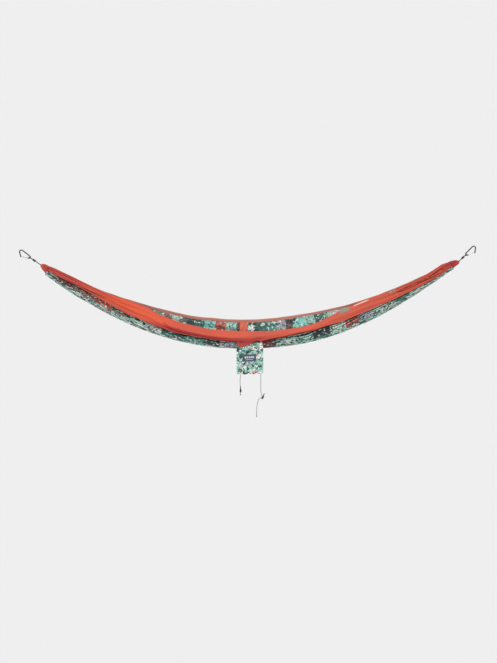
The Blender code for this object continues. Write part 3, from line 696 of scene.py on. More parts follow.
def far_outline(s):
    """The far side panel: the seam, the crest, the back, the folded lower edge, and the loose hem behind it."""
    seam, crest, back, hem = section(s)[7:]
    hem = hem + (0, 0.0030 * ripple(s * 7, 0, 5) + 0.005)
    tuck, loose = tucked(s, back, hem, -1, -0.007 - 0.003 * ripple(s * 6, 0, 8))
    return np.array((seam, crest, back, hem, tuck, loose))


def centre_outline(s):
    return section(s)[3:8]


def struve(x):
    """How deep a meander's folds are, as a share of half its wave length."""
    return 2 / math.pi * (x - x**3 / 9 + x**5 / 225 - x**7 / 11025)


def swing_amount(weight, phase, share):
    """How far the folds turn, so that what they reach is this share of the cloth's width."""
    low, high = 0.0, MOST_GAIN
    for _ in range(HALVINGS):
        gain = (low + high) / 2
        reach = np.cos(np.minimum(gain * weight, MOST_TURN) * np.sin(phase)).mean()
        low, high = (gain, high) if reach > share else (low, gain)
    return np.minimum(gain * weight, MOST_TURN)


def fold_section(curve, s, cut, waves, fullness, swing, inward, seed, across):
    """Lay a panel along its section curve in lengthwise folds that take up spare width.

    The cloth's line swings to either side of the curve as a meander does, and is about `fullness` times as
    long as the curve. Returns the folded line's points and how far across the cut cloth each lies. `swing`
    weighs the folds across the panel, and `inward` is the side that they stand on.
    """
    span = arc_lengths(curve)[-1]
    width = span * fullness
    mid = (np.arange(across) + 0.5) / across
    drift = 0.35 * ripple(s * 2.2, 0, seed) + 0.22 * s
    phase = 2 * math.pi * (waves * (mid + 0.018 * ripple(mid * 5, s * 3.0, seed + 1)) + drift)
    weight = swing(mid, s) * (1 + 0.16 * ripple(mid * waves * 0.7, s * 7.0, seed + 2))
    amount = swing_amount(weight, phase, 1 / fullness)
    angle = amount * np.sin(phase)
    forward = np.concatenate(([0], np.cumsum(np.cos(angle))))
    forward *= span / forward[-1]
    aside = np.concatenate(([0], np.cumsum(np.sin(angle)))) * width / across
    aside -= drifted(aside, round(1.6 * across / waves))
    q = np.linspace(0, 1, across + 1)
    half_depth = np.interp(q, mid, width / waves / 4 * struve(amount))
    edge = rise(np.minimum(q, 1 - q), 0, 0.45 / waves)
    aside = (aside + inward * half_depth) * edge
    within = np.clip(forward, TANGENT_STEP / 2, span - TANGENT_STEP / 2)
    tangent = unit(at_lengths(curve, within + TANGENT_STEP) - at_lengths(curve, within - TANGENT_STEP))
    left = np.stack((-tangent[:, 1], tangent[:, 0]), axis=1)
    return at_lengths(curve, forward) + left * aside[:, None], q * cut


def drifted(line, window):
    """The slow part of a line, over a window of its points."""
    kernel = np.hanning(window + 2)
    kernel /= kernel.sum()
    pad = len(kernel)
    padded = np.concatenate((2 * line[0] - line[pad:0:-1], line, 2 * line[-1] - line[-2:-pad - 2:-1]))
    return np.convolve(padded, kernel, "same")[pad:-pad]


def span_stations(rows):
    """Places along the span, evenly spaced on the cloth, from inside one end sleeve to inside the other."""
    s = np.linspace(-SLEEVE_FROM - 0.006, SLEEVE_FROM + 0.006, 2001)
    lengths = arc_lengths(np.stack([centre_line(x)[0] for x in s]))
    wanted = np.linspace(0, lengths[-1], rows + 1)
    return np.interp(wanted, lengths, s), wanted - lengths[-1] / 2


def cloth_panel(name, outline, cut, waves, fullness, swing, inward, seed, across, material):
    grid, uvs = [], []
    for s, v in zip(*span_stations(ROWS)):
        curve = smooth_curve(outline(s), 14)
        flat, u = fold_section(curve, s, cut, waves, fullness(s), swing, inward, seed, across)
        points = in_space(s, flat)
        points[:, 1:] += 0.0007 * ripple(u * 45, v * 14, seed + 4)[:, None]
        grid.append(points)
        uvs.append(pairs(u, v))
    obj = grid_piece(name, material, grid, uvs)
    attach(obj, "root")
    return obj


def near_swing(q, s):
    """Smooth over the face, with creases low on it left of the sack, and bunched behind and at the ends."""
    low = 0.75 * rise(s, -0.5, -0.38) * (1 - rise(s, 0.02, 0.12)) * (1 - rise(q, 0.50, 0.62))
    ends = (0.5 if s < 0 else 0.3) * rise(abs(s), 0.84, 0.94)
    face = rise(q, 0.30, 0.40) * (1 - rise(q, 0.86, 0.95))
    return 1.4 - face * (1.24 - low - ends)


def centre_swing(q, s):
    """Full folds, shallower at the near seam and slight towards the far one."""
    return 1.0 - 0.8 * rise(q, 0.78, 0.90) - 0.25 * (1 - rise(q, 0.0, 0.1))


def far_swing(q, s):
    """Smooth by the seam and bunched behind."""
    return 1.15 - 0.95 * (1 - rise(q, 0.42, 0.6))


def seam_rows(width):
    """Two rows of stitches along each edge of a panel."""
    return [*SEAM_STITCHES, *(width - d for d in SEAM_STITCHES)]


NEAR_TINTS = (
    # painted shade: the deep red low on the face stands for the shade on its tucked lower half
    (0.10, 0.185, -0.62, 0.12, 0.012, (168, 42, 36)),       # deep red low on the face
    # painted light: the orange under the left crest is the lit upper part of the face
    (0.18, 0.245, -0.95, -0.50, 0.012, (206, 74, 34)),      # orange under the left crest
    (-0.05, 0.37, -1.5, -1.12, 0.01, (184, 64, 52)),        # both ends
    (-0.05, 0.37, 1.34, 1.6, 0.01, (176, 54, 46)),
    (0.216, 0.252, 0.60, 0.665, 0.002, (122, 128, 112)),    # four patches for a strip of print over the edge
    (0.236, 0.246, 0.70, 0.80, 0.002, (226, 206, 194)),
    (0.235, 0.275, 0.955, 0.985, 0.002, (150, 150, 140)),
    (0.235, 0.275, 0.968, 0.975, 0.001, (60, 60, 56)),
)
FAR_TINTS = ((-0.05, 0.050, -1.3, 1.35, 0.005, (166, 104, 88)),)      # a duller band by the seam


def make_cloth():
    near = cloth_panel(
        "near_side_cloth", near_outline, SIDE_WIDTH, 9, lambda s: 1.48 + 1.15 * abs(s) ** 2.2,
        near_swing, -1, 11, 120, coral_nylon("near_coral", seam_rows(SIDE_WIDTH), changes=NEAR_TINTS))
    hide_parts("near_side_panel")
    centre = cloth_panel(
        "centre_cloth", centre_outline, CENTRE_WIDTH, 15, lambda s: 3.1 + 1.1 * abs(s) ** 2.5,
        centre_swing, 1, 23, 240, printed_nylon("centre_print", seam_rows(CENTRE_WIDTH)))
    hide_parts("centre_panel")
    far = cloth_panel(
        "far_side_cloth", far_outline, SIDE_WIDTH, 8, lambda s: 1.34 + 1.25 * abs(s) ** 2.2,
        far_swing, -1, 31, 120, coral_nylon("far_coral", seam_rows(SIDE_WIDTH), changes=FAR_TINTS))
    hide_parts("far_side_panel")


# ---- Ends of the cloth, drawn up on the slings ----
def load_line(side):
    """Hang point, direction from it to the cloth, direction across that in the XZ plane, and the rope's run."""
    hang = np.array((0.0 if side < 0 else RIGHT_HANG_X, 0, 0))
    along = np.array((-side * (LEFT_RUN if side < 0 else RIGHT_RUN), 0, -SLING_DROP))
    length = np.linalg.norm(along)
    along /= length
    return hang, along, np.array((side * along[2], 0, abs(along[0]))), length


def by_line(side, down, above=0.0, depth=0.0):
    """Points by how far they lie down the load line from the hang point, above it, and behind it."""
    hang, along, up, _ = load_line(side)
    down, above, depth = (part[:, None] for part in np.broadcast_arrays(np.atleast_1d(down), above, depth))
    return hang + along * down + up * above + DEPTH * depth


HEAD_LENGTH = 0.054
HEAD_GIRTH = {LEFT: 0.97, RIGHT: 0.95}
HEAD_HUNCH = {LEFT: 0.006, RIGHT: 0.009}
HEAD_PLEATS = {LEFT: 19, RIGHT: 17}
HEAD_TINT = {LEFT: (205, 78, 66), RIGHT: (186, 62, 62)}
HEAD_SHAPE = ((0.0, 0.16), (0.04, 0.30), (0.10, 0.46), (0.22, 0.63), (0.42, 0.80), (0.66, 0.93), (0.86, 0.99),
              (1.0, 0.985))                # share of the head from the rope, share of its mouth's size
HEM_BACK = (0.95, 0.98, 1.0)               # the last rings double back over the hem


def head_centre(side):
    """A function for the head's middle, and the direction across it, at t: 0 at the rope to 1 at its mouth."""
    hang, along, up, length = load_line(side)
    tip = hang + along * (length - 0.007)
    mouth, mouth_up = centre_line(side * (SLEEVE_FROM - 0.0015))
    if side > 0:
        mouth = mouth + mouth_up * RIGHT_END_RISE
    outward = np.array((mouth_up[2], 0, -mouth_up[0])) * side

    def at(t):
        back = 1 - t
        bend = 3 * back**2 * t * (tip + along * 0.018) + 3 * back * t**2 * (mouth + outward * 0.018)
        across = unit(up * back + mouth_up * t)
        hunch = HEAD_HUNCH[side] * math.sin(math.pi * min(1, t * 0.8)) ** 1.2
        return back**3 * tip + bend + t**3 * mouth + across * hunch, across
    return at


def make_head(side):
    """The end of the cloth in pleats that run together where the rope goes in."""
    middle = head_centre(side)
    angle = np.linspace(0, 2 * math.pi, 288, endpoint=False)
    points, uvs = [], []
    for t in [*np.linspace(0, 1, 46), *HEM_BACK]:
        centre, across = middle(t)
        size = np.interp(t, *zip(*HEAD_SHAPE)) * (1 + (HEAD_GIRTH[side] - 1) * (1 - 0.2 * t))
        wander = 0.35 * ripple(angle * 1.5, t * 1.4, 40 + side) + 0.5 * side * t
        groove = (0.5 + 0.5 * np.cos(HEAD_PLEATS[side] * angle + wander)) ** 1.6
        uneven = 1 + 0.25 * ripple(np.cos(angle) * 2, np.sin(angle) * 2 + t, 50 + side)
        depth = (0.0010 + 0.0050 * math.sin(min(1.0, t * 1.25) * math.pi / 2)) * uneven
        crumple = 0.0011 * ripple(angle * 3.1, t * 6.0, 60 + side) * math.sin(math.pi * min(1, t * 1.1)) ** 0.5
        radius_y = 0.0262 * size - depth * groove + crumple
        radius_n = 0.0272 * size - depth * groove + crumple
        slump = -0.0015 * math.sin(math.pi * t)
        points.append(centre + (np.cos(angle) * radius_y)[:, None] * DEPTH
                      + (np.sin(angle) * radius_n + slump)[:, None] * across)
        uvs.append(pairs(t * HEAD_LENGTH, angle * 0.027))
    cloth = coral_nylon(WORD[side] + "_head_coral", (HEAD_LENGTH - 0.006, HEAD_LENGTH - 0.011), HEAD_TINT[side])
    head = grid_piece(WORD[side] + "_gathered_head", cloth, points, uvs, closed=True, flip=side < 0)
    fitted(head, "root", "coral_cloth", WORD[side] + "_end_sleeve")


# ---- Slings ----
def sling_loop(side):
    """The rope's closed loop: an eye on the carabiner, two legs, and a turn inside the gathered end."""
    length = load_line(side)[3]
    knot = BEARING + KNOT_AT[side]
    half = [
        *arc((BEARING, 0), EYE_R, 180, 75, 6),
        (BEARING + KNOT_AT[side] * 0.66, LEG_Y + 0.0016), (knot - 0.0015, LEG_Y), (knot + KNOT_LENGTH, LEG_Y),
        (length - 0.001, LEG_Y), (length + 0.006, LEG_Y + 0.0012), (length + 0.013, TUNNEL_R - 0.0008),
        *arc((length + TUNNEL_DEPTH - TUNNEL_R, 0), TUNNEL_R, 90, 0, 5),
    ]
    down, depth = np.array(half + [(d, -y) for d, y in half[-2:0:-1]]).T
    return closed_curve(by_line(side, down, 0, depth), 6)


def make_sling(side, rope, thread):
    _, along, up, length = load_line(side)
    word = WORD[side]
    loop = tube_piece(word + "_sling", rope, sling_loop(side), ROPE_R, 14, closed=True, across=up, steady=True)
    fitted(loop, "root", "sling_rope", word + "_sling_rope")

    turns, per_turn = 4.5, 26
    tight = 0.0003 + 2 * ROPE_R
    k = np.arange(int(turns * per_turn) + 1)
    turn = 2 * math.pi * k / per_turn
    d = BEARING + KNOT_AT[side] + ROPE_R + (KNOT_LENGTH - 2 * ROPE_R) * k / k[-1] + 0.0004 * np.sin(turn * 0.5)
    wrap = 1 + 0.05 * ripple(turn * 0.3, 0, 70 + side)
    path = by_line(side, d, tight * wrap * np.sin(turn), (tight + LEG_Y) * wrap * np.cos(turn))
    knot = tube_piece(word + "_wrapped_knot", rope, path, ROPE_R, 12, across=along, steady=True)
    fitted(knot, "root", "sling_rope", word + "_sling_knot")

    thread_r, per_turn = 0.00038, 20
    k = np.arange(int(WHIPPING / (2.05 * thread_r)) * per_turn + 1)
    turn = 2 * math.pi * k / per_turn
    reach = ROPE_R + 0.0003 + thread_r
    stadium = np.clip(np.cos(turn) * 2.2, -1, 1) * LEG_Y
    d = length - 0.0025 - WHIPPING + WHIPPING * k / k[-1]
    path = by_line(side, d, reach * np.sin(turn), stadium + reach * np.cos(turn))
    binding = tube_piece(word + "_thread_binding", thread, path, thread_r, 6, across=along, steady=True)
    fitted(binding, "root", "whipping_thread", word + "_rope_whipping")


# ---- Carabiners ----
def carabiner_outline():
    """The rod's middle line from the nose round to the gate's hinge, with the hinge and the nose's end."""
    wide, narrow = (WIDE_R - ROD_R, 0), (BEARING - NARROW_R, 0)
    lean = math.degrees(math.asin((WIDE_R - NARROW_R) / (narrow[0] - wide[0])))
    reach = (NOSE_START[0] - wide[0], NOSE_START[1] - wide[1])
    basket = math.degrees(math.atan2(reach[1], reach[0]) - math.acos(WIDE_R / math.hypot(*reach)))
    facing = np.array((math.cos(math.radians(basket)), math.sin(math.radians(basket))))
    nose = arc(NOSE_START - NOSE_R * facing, NOSE_R, basket + NOSE_TURN, basket, 10)
    round_wide = arc(wide, WIDE_R, 360 + basket, 90 - lean, 30)
    bend_end = -62.5
    round_narrow = arc(narrow, NARROW_R, 90 - lean, bend_end, 26)
    back = np.array((math.sin(math.radians(bend_end)), -math.cos(math.radians(bend_end))))
    hinge = round_narrow[-1] + back * HINGE_STRAIGHT
    stretches = np.vstack((nose, round_wide, round_narrow, [hinge + back * 0.0036]))
    return evenly(stretches, 0.0016), hinge, nose[0]


def make_carabiner(side, alloy, steel):
    _, along, up, _ = load_line(side)
    outline, hinge, nose = carabiner_outline()
    word = WORD[side]
    lengths = arc_lengths(outline)
    last = lengths[-1]
    radii = ROD_R * (NOSE_TAPER + (1 - NOSE_TAPER) * rise(lengths, 0, 0.006))
    radii = radii * (1 - 0.25 * (1 - rise(lengths, 0, 0.0009))) * (1 - 0.3 * rise(lengths, last - 0.001, last))
    builder = Builder()
    builder.tube(by_line(side, *outline.T), radii, 28, steady=True)
    for face in (-1, 1):
        at = Vector(by_line(side, *hinge, face * (ROD_R - 0.0004))[0])
        builder.turned(((0, 0), (0.0019, 0), (0.0019, 0.0004), (0.0014, 0.0008), (0, 0.0009)), 24,
                       Matrix.Translation(at) @ Matrix.Rotation(math.radians(-90 * face), 4, "X"))
    fitted(builder.build(word + "_carabiner", alloy), word + "_carabiner", "carabiner_alloy",
           word + "_carabiner_body")

    back = unit(hinge - nose)
    inward = np.array((-back[1], back[0]))
    end = nose + back * BAR_PAST_NOSE + inward * (ROD_R * NOSE_TAPER + WIRE_R + 0.0006)
    reach = np.linalg.norm(end - hinge)
    lie = (end - hinge) / reach
    half = [(0, 0.0010), (0, 0.0046), (0.0005, 0.0056), (0.0018, WIRE_LEG_Y), (0.010, WIRE_LEG_Y),
            (0.020, WIRE_LEG_Y), *arc((reach - WIRE_LEG_Y, 0), WIRE_LEG_Y, 90, 0, 8)]
    wire = np.array(half + [(d, -y) for d, y in half[-2::-1]])
    path = by_line(side, *(hinge + lie * wire[:, :1]).T, wire[:, 1])
    gate = tube_piece(word + "_gate", steel, evenly(smooth_curve(path, 5), 0.0012), WIRE_R, 16,
                      across=along * -lie[1] + up * lie[0], steady=True)
    fitted(gate, word + "_gate", "gate_steel", word + "_wire_gate")


# ---- Stuff sack ----
def sack_half_depth(z):
    """Half the sack's thickness: a thin top seam that fills out within a few centimetres."""
    below = min(max((SACK_TOP - z) / 0.045, 0), 1)
    return SACK_SEAM + (SACK_DEEP - SACK_SEAM) * math.sin(below * math.pi / 2)


def sack_ring(z, half_width, half_depth, angle):
    """The sack's outline at one height, a rounded oblong."""
    c, s = np.cos(angle), np.sin(angle)
    across = np.sign(c) * np.abs(c) ** 0.55
    deep = np.sign(s) * np.abs(s) ** 0.35
    return np.stack((SACK_X + half_width * across, SACK_Y + half_depth * deep, np.full(len(angle), z)), axis=1)


def make_sack(print_cloth):
    """One wrapped piece of cloth: a top seam, a loose pouch, and a drawcord channel with a scalloped edge."""
    fine = np.linspace(0, 2 * math.pi, 4001)
    lengths = arc_lengths(sack_ring(0, SACK_HALF, SACK_DEEP, fine))
    wanted = np.linspace(0, lengths[-1], 220, endpoint=False)
    angle = np.interp(wanted, lengths, fine)
    rows, uvs = [], []
    drop = SACK_TOP - SACK_BOTTOM
    for level in [*np.linspace(0, 0.05, 14), *np.linspace(0.06, 0.88, 44), *np.linspace(0.89, 1.0, 14)]:
        z = SACK_TOP - drop * level
        narrow = 0.004 * (1 - rise(level, 0, 0.04)) + 0.004 * rise(level, 0.93, 1.0) ** 2
        ring = sack_ring(z, SACK_HALF - narrow, sack_half_depth(z), angle)
        x = (ring[:, 0] - SACK_X) / SACK_HALF
        front = np.sign(ring[:, 1] - SACK_Y)
        loose = hump(level, 0.02, 1.12) * (1 - x**2)
        ring[:, 1] += 0.0022 * loose * ripple(x * 2.4, level * 3.6 + front, 81)
        pucker = np.cos(x * 21 + 0.9 * np.sin(x * 5)) * (0.0011 + 0.0004 * ripple(x * 4, front, 84))
        ring[:, 1] += front * rise(level, 0.80, 0.93) * pucker
        groove = math.exp(-((level - 0.905) / 0.012) ** 2)
        ring[:, 1] -= front * groove * 0.0016 * np.minimum(1, np.abs(ring[:, 1] - SACK_Y) / 0.004)
        scallop = np.abs(np.sin(x * 5.2 + 0.55)) ** 0.7
        ring[:, 2] += rise(level, 0.88, 1.0) * (0.0075 - 0.0105 * scallop)
        ring[:, 2] += 0.0035 * x * rise(level, 0.1, 0.9) * 0.35
        rows.append(ring)
        uvs.append(pairs(wanted, -drop * level))
    outermost = rows[-1]
    for shrink, lift in ((0.0010, -0.0003), (0.0022, 0.0004), (0.0026, 0.003), (0.0026, 0.012)):
        ring = outermost.copy()
        ring[:, 0] = SACK_X + (ring[:, 0] - SACK_X) * (1 - shrink / SACK_HALF)
        ring[:, 1] = SACK_Y + (ring[:, 1] - SACK_Y) * (1 - shrink / SACK_DEEP)
        ring[:, 2] += lift
        rows.append(ring)
        uvs.append(pairs(wanted, -drop - 0.002 - lift))
    sack = grid_piece("stuff_sack", print_cloth, rows, uvs, closed=True)
    fitted(sack, "sack", "printed_cloth", "sack_body", "sack_channel")


def label_marks(x, z):
    """How strongly each point of a row of the label is marked: bars over a line, and a fainter border."""
    bars = np.any([(low <= x) & (x <= high) for low, high in LABEL_BARS], axis=0) & (-0.004 < z < 0.011)
    line = (np.abs(x) < 0.024) & (-0.0135 < z < -0.0105)
    border = (np.abs(x) > LABEL_W - 0.0026) & (np.abs(x) < LABEL_W - 0.0016)
    border |= LABEL_H - 0.0026 < abs(z) < LABEL_H - 0.0016
    return np.where(bars | line, 0.9, np.where(border, 0.35, 0.0))


def make_label(weave):
    """A woven label, turned a little, with plain bars woven in where a name would be."""
    turn = math.radians(3)
    rows, uvs, marks = [], [], []
    for z in np.linspace(-LABEL_H, LABEL_H, 47):
        corner = 0.0012 * max(0, abs(z) / LABEL_H - 0.93) / 0.07
        x = np.linspace(-LABEL_W, LABEL_W, 89) * (1 - corner / LABEL_W)
        y = SACK_Y - SACK_DEEP - 0.0014 + 0.0004 * ripple(x * 40, z * 40, 91)
        rows.append(np.stack((LABEL_X + x * math.cos(turn) - z * math.sin(turn), y,
                              LABEL_Z + x * math.sin(turn) + z * math.cos(turn)), axis=1))
        uvs.append(pairs(x, z))
        marks.extend(label_marks(x, z))
    front = np.array(rows)
    rear = front + (0, 0.0007, 0)
    rims = [np.concatenate((face[0, :-1], face[:-1, -1], face[-1, :0:-1], face[:0:-1, 0]))
            for face in (rear, front)]
    builder = Builder()
    builder.grid(front, uvs)
    builder.grid(rear, uvs, flip=True)
    builder.grid(rims, np.zeros((2, len(rims[0]), 2)), closed=True)
    label = builder.build("sewn_label", weave)
    layer = label.data.attributes.new("mark", "FLOAT", "POINT")
    layer.data.foreach_set("value", marks + [0.0] * (len(label.data.vertices) - len(marks)))
    fitted(label, "sack", "woven_label", "sack_label")


def make_tabs(tape):
    """Folded tape that holds the sack's top seam to the hem."""
    low, high = SACK_TOP + 0.0023, SACK_TOP + 0.0143
    half = [(0.0010, low), (0.0011, low + 0.004), (0.0010, high - 0.0012), (0.0005, high - 0.0002)]
    loop = [(-y, z) for y, z in half] + half[::-1]
    inner = [(y * 0.45, z - 0.0004 * (z > high - 0.001)) for y, z in loop[::-1]]
    outline = np.array(loop + inner)
    for side in (LEFT, RIGHT):
        rows, uvs = [], []
        for x in np.linspace(-0.008, 0.008, 17):
            bow = 0.0003 * math.sin(x * 500 + side)
            row = np.insert(outline, 0, 0.0, axis=1)
            rows.append(row + (SACK_X + side * (SACK_HALF - 0.012) + x, SACK_Y - 0.0016 + bow, 0))
            uvs.append(pairs(arc_lengths(outline), x))
        tab = grid_piece(WORD[side] + "_sewn_tab", tape, rows, uvs, closed=True, caps=True)
        fitted(tab, "root", "coral_cloth", "sack_tab_" + WORD[side])


def make_hem_pull(cloth):
    """The part of the side panel's hem that the sack's seam has dragged down with it."""
    width = 0.100
    downs = np.linspace(0, 1, 26)
    rows, uvs = [], []
    for x in np.linspace(0, 1, 60):
        edge = rise(x, -0.02, 0.16) * (1 - rise(x, 0.30, 1.05))
        z = SACK_TOP + 0.004 - (0.008 + 0.023 * edge) * downs
        fold = 0.0010 * np.sin(9 * x + 3 * downs) * rise(downs, 0.3, 0.6) * edge
        y = SACK_Y - np.maximum(0.005, [sack_half_depth(h) + 0.0022 for h in z]) + fold
        rows.append(np.stack((np.full(len(downs), SACK_X - 0.0825 + width * x), y, z), axis=1))
        uvs.append(pairs(downs * 0.03, width * x))
    pull = grid_piece("hem_pull", cloth, rows, uvs)
    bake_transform(pull)


def make_inner_flap(cloth):
    """A short piece of the far panel turned in over the far wall."""
    middle, half, down = -0.0345, 0.0185, 0.074
    rows, uvs = [], []
    steps = np.linspace(0, 1, 36)
    for x in np.linspace(-1, 1, 28):
        s = middle + half * x
        to_seam = arc_lengths(smooth_curve(section(s)[5:8], 24))[-1]
        wall = smooth_curve(section(s)[5:9], 24)
        wall = wall[arc_lengths(wall) <= to_seam + 0.006]
        reach = down * (1 + 0.06 * math.sin(3 * x + 1))
        flat = at_lengths(wall, arc_lengths(wall)[-1] - reach * steps)
        off = 0.004 + 0.017 * rise(steps, 0.0, 0.85) + 0.0012 * np.sin(5 * x + 7 * steps)
        rows.append(in_space(s, flat + pairs(-off, 0.25 * off)))
        uvs.append(pairs(steps * down, x * half * CLOTH_HALF))
    flap = grid_piece("inner_flap", cloth, rows, uvs)
    fitted(flap, "root", "coral_cloth")


# ---- Drawcords and cord locks ----
def cord_path(side):
    start = np.array((CORD_X[side], CORD_Y, CORD_START_Z))
    return evenly(smooth_curve(np.array(ROUTE[side]) / 1000 + start, 12), 0.0022)


def make_cord_knot(side, path, cord):
    """An overhand stopper with a short tail."""
    down = unit(path[-1] - path[-2])
    t = np.linspace(0, 2 * math.pi, 90)[:-1]
    ring = np.stack((np.sin(t) + 2 * np.sin(2 * t), -1.5 * np.sin(3 * t),
                     np.cos(t) - 2 * np.cos(2 * t)), axis=1)
    builder = Builder()
    builder.tube(ring * 0.00088 + path[-1] + down * 0.0040, 0.0012, 10, closed=True)
    tail = path[-1] + down * np.linspace(0.0003, 0.011, 8)[:, None]
    builder.tube(tail, np.array((1.0, 1.1, 1.1, 1.0, 1.0, 1.0, 1.05, 0.8)) * 0.00135, 10)
    knot = builder.build(WORD[side] + "_stopper_knot", cord)
    fitted(knot, "sack", "drawcord", WORD[side] + "_cord_knot")
    return knot


def bored(obj, start, end, radius):
    """Cut a round hole from start to end through a piece."""
    tool = tube_piece("bore", obj.data.materials[0], (start, end), radius, 24, across=(1, 0, 0))
    cut = obj.modifiers.new("bore", "BOOLEAN")
    cut.operation = "DIFFERENCE"
    cut.solver = "EXACT"
    cut.object = tool
    depsgraph = bpy.context.evaluated_depsgraph_get()
    mesh = bpy.data.meshes.new_from_object(obj.evaluated_get(depsgraph))
    obj.modifiers.clear()
    obj.data = mesh
    bpy.data.objects.remove(tool)


def barrel_profile():
    """Half of the barrel's section: a rounded foot, four ribs near the mouth, and the plunger's bore."""
    rib = []
    for k in range(4):
        z = 0.0142 + 0.0014 * k
        rib += [(BARREL_R, z), (BARREL_R - 0.0004, z + 0.0003), (BARREL_R - 0.0004, z + 0.0007),
                (BARREL_R, z + 0.001)]
    return [(0, 0), (0.0030, 0.0001), (BARREL_R - 0.0012, 0.0005), (BARREL_R - 0.0004, 0.0013),
            (BARREL_R, 0.0026), (BARREL_R, 0.0138), *rib, (BARREL_R - 0.0002, BARREL_LENGTH - 0.0006),
            (BARREL_R - 0.0006, BARREL_LENGTH), (BARREL_BORE, BARREL_LENGTH), (BARREL_BORE, BARREL_FLOOR),
            (0, BARREL_FLOOR)]


def make_lock(side, shell, core, steel):
    """A spring cord lock: a ribbed barrel with the plunger standing out of it."""
    hole = Vector((CORD_X[side], CORD_Y, CORD_START_Z)) + Vector(LOCK[side])
    place = (Matrix.Translation(hole) @ Matrix.Rotation(math.radians(LOCK_TILT[side]), 4, "Y")
             @ Matrix.Translation((0, 0, -HOLE_AT)))
    word = WORD[side]
    builder = Builder()
    builder.turned(barrel_profile(), 40, place)
    barrel = builder.build(word + "_ribbed_barrel", shell)
    bored(barrel, place @ Vector((0, -0.01, HOLE_AT)), place @ Vector((0, 0.01, HOLE_AT)), HOLE_R)
    fitted(barrel, word + "_lock", "lock_plastic", word + "_lock_barrel")
    plunger = bpy.data.objects[word + "_lock_plunger"]
    plunger.material_slots[0].material = core

    turns = np.linspace(0, COIL_TURNS, 91)
    low, high = BARREL_FLOOR + SPRING_WIRE + 0.0003, PLUNGER_FOOT - SPRING_WIRE - 0.0003
    coil_path = [place @ Vector((COIL_R * math.cos(2 * math.pi * turn), COIL_R * math.sin(2 * math.pi * turn),
                                 low + (high - low) * turn / COIL_TURNS)) for turn in turns]
    coil = tube_piece(word + "_press_coil", steel, coil_path, SPRING_WIRE, 8, across=(0, 0, 1))
    fitted(coil, word + "_lock", "gate_steel", word + "_lock_spring")
    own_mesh(coil)
    return [barrel, plunger, coil]


def make_drawcord(side, cord, shell, core, steel):
    path = cord_path(side)
    line = tube_piece(WORD[side] + "_cord", cord, path, CORD_R, 12)
    fitted(line, "sack", "drawcord", WORD[side] + "_drawcord")
    pieces = [make_cord_knot(side, path, cord), *make_lock(side, shell, core, steel)]


# ---- Camera, light and backdrop ----
def make_camera():
    """A long lens from the front, a little above the hammock, and a touch off level."""
    target = Vector((MID_X - 0.013, 0, END_Z - SAG + 0.008))
    distance, elevation, roll = 14.25, math.radians(14), math.radians(0.5)
    back = Vector((0, -math.cos(elevation), math.sin(elevation)))
    data = bpy.data.cameras.new("camera")
    data.lens = 120
    data.sensor_width = 36
    camera = bpy.data.objects.new("camera", data)
    level = (-back).to_track_quat("-Z", "Y").to_matrix().to_4x4()
    camera.matrix_world = Matrix.Translation(target + back * distance) @ level @ Matrix.Rotation(-roll, 4, "Z")
    bpy.context.collection.objects.link(camera)
    bpy.context.scene.camera = camera


def make_world():
    """Even light from all round, a little more from above."""
    world = bpy.data.worlds.new("studio")
    world.use_nodes = True
    tree = world.node_tree
    direction = tree.nodes.new("ShaderNodeTexCoord").outputs["Generated"]
    height = tree.nodes.new("ShaderNodeSeparateXYZ")
    tree.links.new(direction, height.inputs[0])
    glow = tree.nodes.new("ShaderNodeMapRange")
    tree.links.new(height.outputs[2], glow.inputs["Value"])
    glow.inputs["To Min"].default_value = GLOW_BELOW
    glow.inputs["To Max"].default_value = GLOW_ABOVE
    tree.links.new(glow.outputs["Result"], tree.nodes["Background"].inputs["Color"])
    bpy.context.scene.world = world


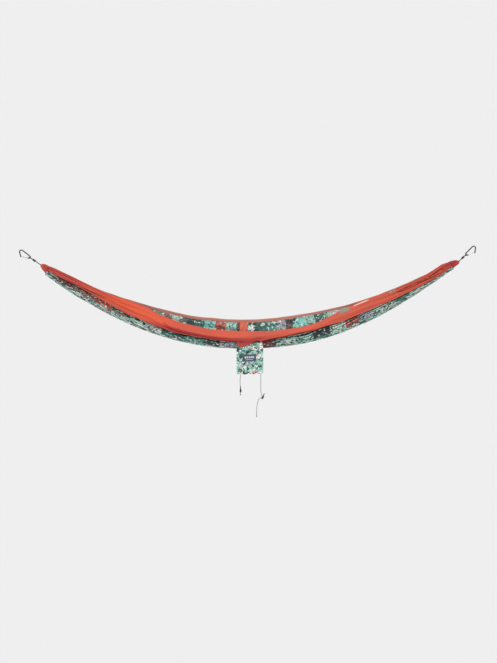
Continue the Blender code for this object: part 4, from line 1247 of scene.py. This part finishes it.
def make_lamps():
    """Two broad, soft lamps in front of the hammock."""
    for name, place, power in (("key", (-1.6, -3.0, 3.6), 0.9), ("fill", (2.4, -3.2, 1.2), 0.35)):
        data = bpy.data.lights.new(name, "SUN")
        data.angle = math.radians(40)
        data.energy = power
        lamp = bpy.data.objects.new(name, data)
        lamp.location = Vector(place) + Vector((MID_X, 0, 0))
        lamp.rotation_euler = (-Vector(place)).to_track_quat("-Z", "Y").to_euler()
        bpy.context.collection.objects.link(lamp)


def make_floor():
    """A wide, pale, plain floor far below."""
    bm = bmesh.new()
    bmesh.ops.create_circle(bm, cap_ends=True, segments=96, radius=90)
    mesh = bpy.data.meshes.new("floor")
    bm.to_mesh(mesh)
    bm.free()
    floor = bpy.data.objects.new("floor", mesh)
    floor.location = (MID_X, 0, -6.0)
    bpy.context.collection.objects.link(floor)
    paper = Finish("pale_floor", 0.9, specular=0.0)
    cloud = paper.noise(paper.space(), 0.4, 2)
    paper.set(Base_Color=paper.mix(cloud, (0.679, 0.679, 0.679, 1), (0.687, 0.687, 0.687, 1)))
    mesh.materials.append(paper.material)


make_camera()
grey_cord = braided("grey_cord", (12, 12, 13), (34, 34, 35), 4, 0.004)
lock_shell = moulded("lock_shell", (26, 26, 28), 0.5)
lock_core = moulded("lock_core", (30, 30, 32), 0.45)
steel = metal("gate_steel", (196, 196, 198), 0.26)
for end in (LEFT, RIGHT):
    make_drawcord(end, grey_cord, lock_shell, lock_core, steel)
dark_rope = braided("dark_rope", (28, 20, 22), (74, 62, 62), 5, 0.006)
thread = braided("dark_thread", (22, 14, 18), (50, 34, 38), 1, 0.0012)
alloy = metal("carabiner_alloy", (92, 92, 94), 0.42)
for end in (LEFT, RIGHT):
    make_head(end)
    make_sling(end, dark_rope, thread)
    make_carabiner(end, alloy, steel)
make_cloth()
make_sack(printed_nylon("sack_print", (), False, 1.9))
make_label(woven("label_weave", (60, 72, 92), (206, 212, 216)))
make_tabs(woven("tab_tape", (196, 84, 70)))
# painted shade: the hem pulled down over the sack is a darker copy of the coral, (164, 46, 36)
make_hem_pull(coral_nylon("shaded_hem_coral", (0.022, 0.026), (164, 46, 36)))
make_inner_flap(coral_nylon("flap_coral", (0.004, 0.066), (204, 92, 66)))
make_world()
make_lamps()
make_floor()
bpy.context.scene.view_settings.view_transform = "Standard"
